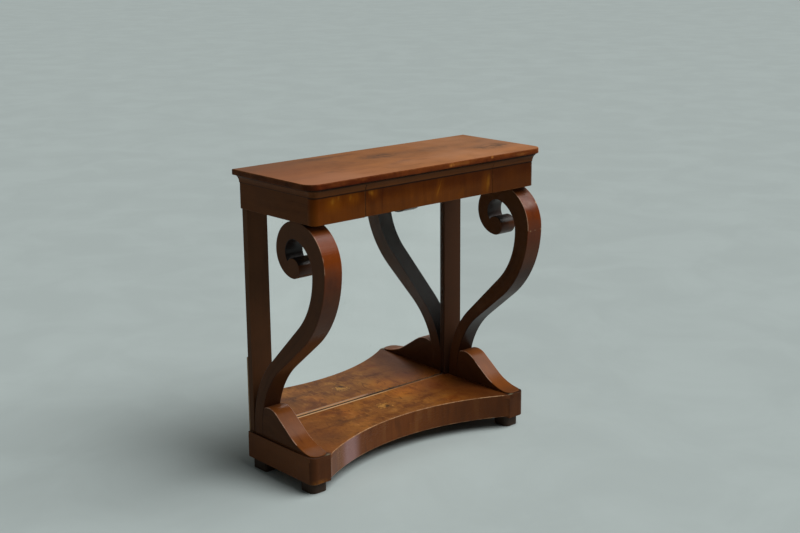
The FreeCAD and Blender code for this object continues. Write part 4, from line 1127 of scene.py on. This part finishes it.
class PIER_OT_top(PierTableOperator, bpy.types.Operator):
    """Top board and the cove that runs under it"""

    bl_idname = "pier.top"
    bl_label = "Top and cove"

    def execute(self, context):
        make_top_board()
        low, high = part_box("frieze_front_right")
        for node, side in zip(pairs("cove"), (-high.x, high.x)):
            line = [(side, BACK_Y), (side, low.y), (0.0, low.y)]
            dress("cove_flow", node, bare=True, line=line, axes=(0, 1, 2))
        return {"FINISHED"}


class PIER_OT_frieze(PierTableOperator, bpy.types.Operator):
    """Frieze boards, and the inner timbers that guide the drawer"""

    bl_idname = "pier.frieze"
    bl_label = "Frieze"

    def execute(self, context):
        dress("frieze_veneer", *pairs("frieze_front"))
        dress("dark_deep", *pairs("frieze_side"))
        dress("pine_across", "frieze_back_rail", bare=True)
        guides = pairs("frieze_soffit", "drawer_partition", "drawer_runner", "drawer_kicker")
        dress("pine_deep", *guides, bare=True)
        tint_nodes("pine_deep", "drawer_stops", "top_glue_blocks")
        return {"FINISHED"}


class PIER_OT_drawer(PierTableOperator, bpy.types.Operator):
    """Drawer with its length of cove, dovetailed sides and bottom"""

    bl_idname = "pier.drawer"
    bl_label = "Drawer"

    def execute(self, context):
        dress("frieze_veneer", "drawer_front")
        dress("cove_across", "drawer_cove", bare=True)
        dress("oak_deep", *pairs("drawer_side"), bare=True)
        dress("oak_across", "drawer_back", bare=True)
        dress("pine_across", "drawer_bottom", bare=True)
        return {"FINISHED"}


# A scroll's share of the worn arris, and where polish is rubbed: along the scroll's line, and clear of
# the bracket's back and foot
SCROLL_ARRIS = 0.7
RUBBED_FROM, RUBBED_TO = 0.61, 0.72
BRACKET_BACK = 0.075
BRACKET_FOOT = 0.018


class PIER_OT_scrolls(PierTableOperator, bpy.types.Operator):
    """Volute scrolls and the brackets at their feet"""

    bl_idname = "pier.scrolls"
    bl_label = "Scrolls and brackets"

    def execute(self, context):
        sizes = context.scene.pier_shape
        flowing = {"axes": (1, 2, 0), "sliced": (1, 2)}
        scrolls = dress("scroll_veneer", *pairs("scroll"), width=SCROLL_ARRIS * sizes.worn_arris,
                        line=side_view(SCROLL_LINE), **flowing)
        for scroll in scrolls:
            veneer(scroll, "scroll_side", faces_aside)
            flow = scroll.data.attributes["flow"].data
            spare_wear(scroll, lambda corner: not (RUBBED_FROM < flow[corner.index].vector[0] < RUBBED_TO
                                                   and flow[corner.index].vector[1] > 0.0))
        brackets = dress("bracket_veneer", *pairs("scroll_bracket"), width=sizes.worn_arris,
                         line=side_view(BRACKET_LINE), **flowing,
                         shaped=lambda shape, node: round_tip(shape, node, sizes.bracket_tip))
        for bracket in brackets:
            veneer(bracket, "scroll_side", faces_aside)
            spare_wear(bracket, lambda corner: (corner.co.y > BACK_Y - BRACKET_BACK
                                                or corner.co.z < PLINTH_FACE + BRACKET_FOOT))
        tint_nodes("pine_deep", "scroll_dowels")
        return {"FINISHED"}


class PIER_OT_back(PierTableOperator, bpy.types.Operator):
    """Back posts, mirror plate, backing boards and nails"""

    bl_idname = "pier.back"
    bl_label = "Back and mirror"

    def execute(self, context):
        dress("dark_upright", *pairs("back_post"))
        tint_nodes("old_mirror", "mirror_plate")
        dress("pine_across", "mirror_backing_lower", "mirror_backing_upper", "lower_back_panel", bare=True)
        tint_nodes("old_iron", "back_nails")
        make_nail_heads(context.scene.pier_shape.nail_head)
        return {"FINISHED"}


# The joint beside a corner block that no duster reaches, and the share of a back foot's rounding
CORNER_SEAM = 0.012
BACK_FOOT = 0.4


class PIER_OT_plinth(PierTableOperator, bpy.types.Operator):
    """Plinth with its concave front, and the feet"""

    bl_idname = "pier.plinth"
    bl_label = "Plinth and feet"

    def execute(self, context):
        sizes = context.scene.pier_shape
        # The board on top, whose edge has the veneers of what it lies on
        [board] = dress("base_veneer", "plinth_top", width=sizes.worn_arris, joint=PLINTH_JOINT)
        veneer(board, "plinth_veneer", lambda face: abs(face.normal.z) < LEVEL_FACE)
        veneer(board, "dark_deep", lambda face: face.material_index == 1 and abs(face.normal.x) > END_FACE)
        veneer(board, "corner_veneer", lambda face: (face.material_index == 1
                                                     and abs(face.center.x) > CORNER_FROM))
        spare_wear(board, lambda corner: abs(corner.co.x) > CORNER_FROM)
        # Concave front, corner blocks and sides
        [front] = dress("plinth_veneer", "plinth_front", joint=PLINTH_JOINT)
        spare_wear(front, lambda corner: abs(corner.co.x) > CORNER_FROM - CORNER_SEAM)
        for block in dress("corner_veneer", *pairs("plinth_corner"), joint=PLINTH_JOINT):
            veneer(block, "dark_deep", faces_aside)
            spare_wear(block, lambda corner: abs(corner.co.x) < CORNER_FROM + CORNER_SEAM)
        dress("dark_deep", *pairs("plinth_side"), joint=PLINTH_JOINT)
        # Bare timber behind and inside, then the feet
        dress("pine_across", "plinth_back", bare=True)
        dress("pine_deep", *pairs("plinth_back_block"), bare=True)
        tint_nodes("pine_deep", "plinth_glue_blocks")
        for stem, share in (("foot_front", 1.0), ("foot_back", BACK_FOOT)):
            dress("foot_deep", *pairs(stem),
                  shaped=lambda shape, node: round_edges(shape, upright_corners(shape),
                                                         share * sizes.foot_corner, 5))
        tint_nodes("old_iron", "foot_screws")
        return {"FINISHED"}


# Stage: the photograph's camera, where the key light comes from and the size of the floor
CAMERA_PLACE = (-2.4163, -2.7570, 1.4778)
CAMERA_BEARING = math.radians(-41.364)
CAMERA_TILT = math.radians(14.330)
CAMERA_ROLL = math.radians(-0.4836)
CAMERA_LENS = 60.60
KEY_FROM = (0.38, -0.45, 0.81)
FLOOR_RADIUS = 60.0


def add_camera():
    """A camera that sees the table as the photograph does."""
    back = Vector((math.sin(CAMERA_BEARING) * math.cos(CAMERA_TILT),
                   -math.cos(CAMERA_BEARING) * math.cos(CAMERA_TILT), math.sin(CAMERA_TILT)))
    right = (-back).cross(Vector((0.0, 0.0, 1.0))).normalized()
    up = right.cross(-back)
    turn, lean = math.cos(CAMERA_ROLL), math.sin(CAMERA_ROLL)
    columns = (right * turn + up * lean, up * turn - right * lean, back)
    camera = put_in_scene("camera", bpy.data.cameras.new("camera"))
    camera.matrix_world = Matrix.Translation(CAMERA_PLACE) @ Matrix(columns).transposed().to_4x4()
    camera.data.sensor_fit = "HORIZONTAL"
    camera.data.sensor_width = 36.0
    camera.data.lens = CAMERA_LENS
    camera.data.clip_end = 200.0
    bpy.context.scene.camera = camera


def add_key_light(strength, spread):
    """One broad soft light from above, in front and to the right."""
    lamp = bpy.data.lights.new("key", "SUN")
    lamp.energy = strength
    lamp.angle = spread
    lamp.color = (1.0, 0.985, 0.96)
    light = put_in_scene("key", lamp)
    light.rotation_euler = Vector(KEY_FROM).to_track_quat("Z", "Y").to_euler()


def add_floor():
    """A wide pale floor with faint clouds."""
    shape = bmesh.new()
    bmesh.ops.create_circle(shape, cap_ends=True, segments=96, radius=FLOOR_RADIUS)
    material, shader, where = new_material("pale_floor")
    colour = tuple(bpy.context.scene.pier_stage.floor)
    cloud = where.noise(2.6, 5.0, 0.6, 0.6).ease(0.35, 0.7)
    tint = blend(cloud, shade(colour, (0.965, 0.965, 0.965)), shade(colour, (1.03, 1.03, 1.03)))
    connect(shader, Base_Color=tint, Roughness=0.62)
    floor = new_object("floor", shape, material)


def add_room_light():
    """Even pale light from all round."""
    world = bpy.data.worlds.new("room")
    bpy.context.scene.world = world
    world.use_nodes = True
    background = world.node_tree.nodes["Background"]
    background.inputs["Color"].default_value = (0.93, 0.95, 0.92, 1.0)
    background.inputs["Strength"].default_value = bpy.context.scene.pier_stage.room_light


class PIER_OT_stage(PierTableOperator, bpy.types.Operator):
    """Plain pale floor, soft lights and the camera"""

    bl_idname = "pier.stage"
    bl_label = "Stage"

    def execute(self, context):
        values = context.scene.pier_stage
        add_floor()
        add_room_light()
        add_key_light(values.sun_strength, values.sun_spread)
        add_camera()
        context.scene.view_settings.view_transform = "Standard"
        return {"FINISHED"}


class PIER_PT_panel(bpy.types.Panel):
    """Lists the table's pieces and their sizes and colours"""

    bl_idname = "PIER_PT_panel"
    bl_label = "Pier table"
    bl_space_type = "VIEW_3D"
    bl_region_type = "UI"
    bl_category = "Pier table"

    def draw(self, context):
        for operator in OPERATORS:
            self.layout.operator(operator.bl_idname)
        for name in PROPERTY_GROUPS:
            group = getattr(context.scene, name)
            column = self.layout.column(align=True)
            for value in group.__annotations__:
                column.prop(group, value)


OPERATORS = (PIER_OT_top, PIER_OT_frieze, PIER_OT_drawer, PIER_OT_scrolls, PIER_OT_back, PIER_OT_plinth,
             PIER_OT_stage)
PROPERTY_GROUPS = {
    "pier_shape": PierTableShape,
    "pier_finish": PierTableFinish,
    "pier_stage": PierTableStage,
}


def register():
    for name, group in PROPERTY_GROUPS.items():
        bpy.utils.register_class(group)
        setattr(bpy.types.Scene, name, bpy.props.PointerProperty(type=group))
    for operator in OPERATORS:
        bpy.utils.register_class(operator)
    bpy.utils.register_class(PIER_PT_panel)


def unregister():
    bpy.utils.unregister_class(PIER_PT_panel)
    for operator in reversed(OPERATORS):
        bpy.utils.unregister_class(operator)
    for name, group in PROPERTY_GROUPS.items():
        delattr(bpy.types.Scene, name)
        bpy.utils.unregister_class(group)


def main():
    register()
    make_groups()
    bpy.ops.pier.top()
    bpy.ops.pier.frieze()
    bpy.ops.pier.drawer()
    bpy.ops.pier.scrolls()
    bpy.ops.pier.back()
    bpy.ops.pier.plinth()
    bpy.ops.pier.stage()


if __name__ == "__main__":
    main()
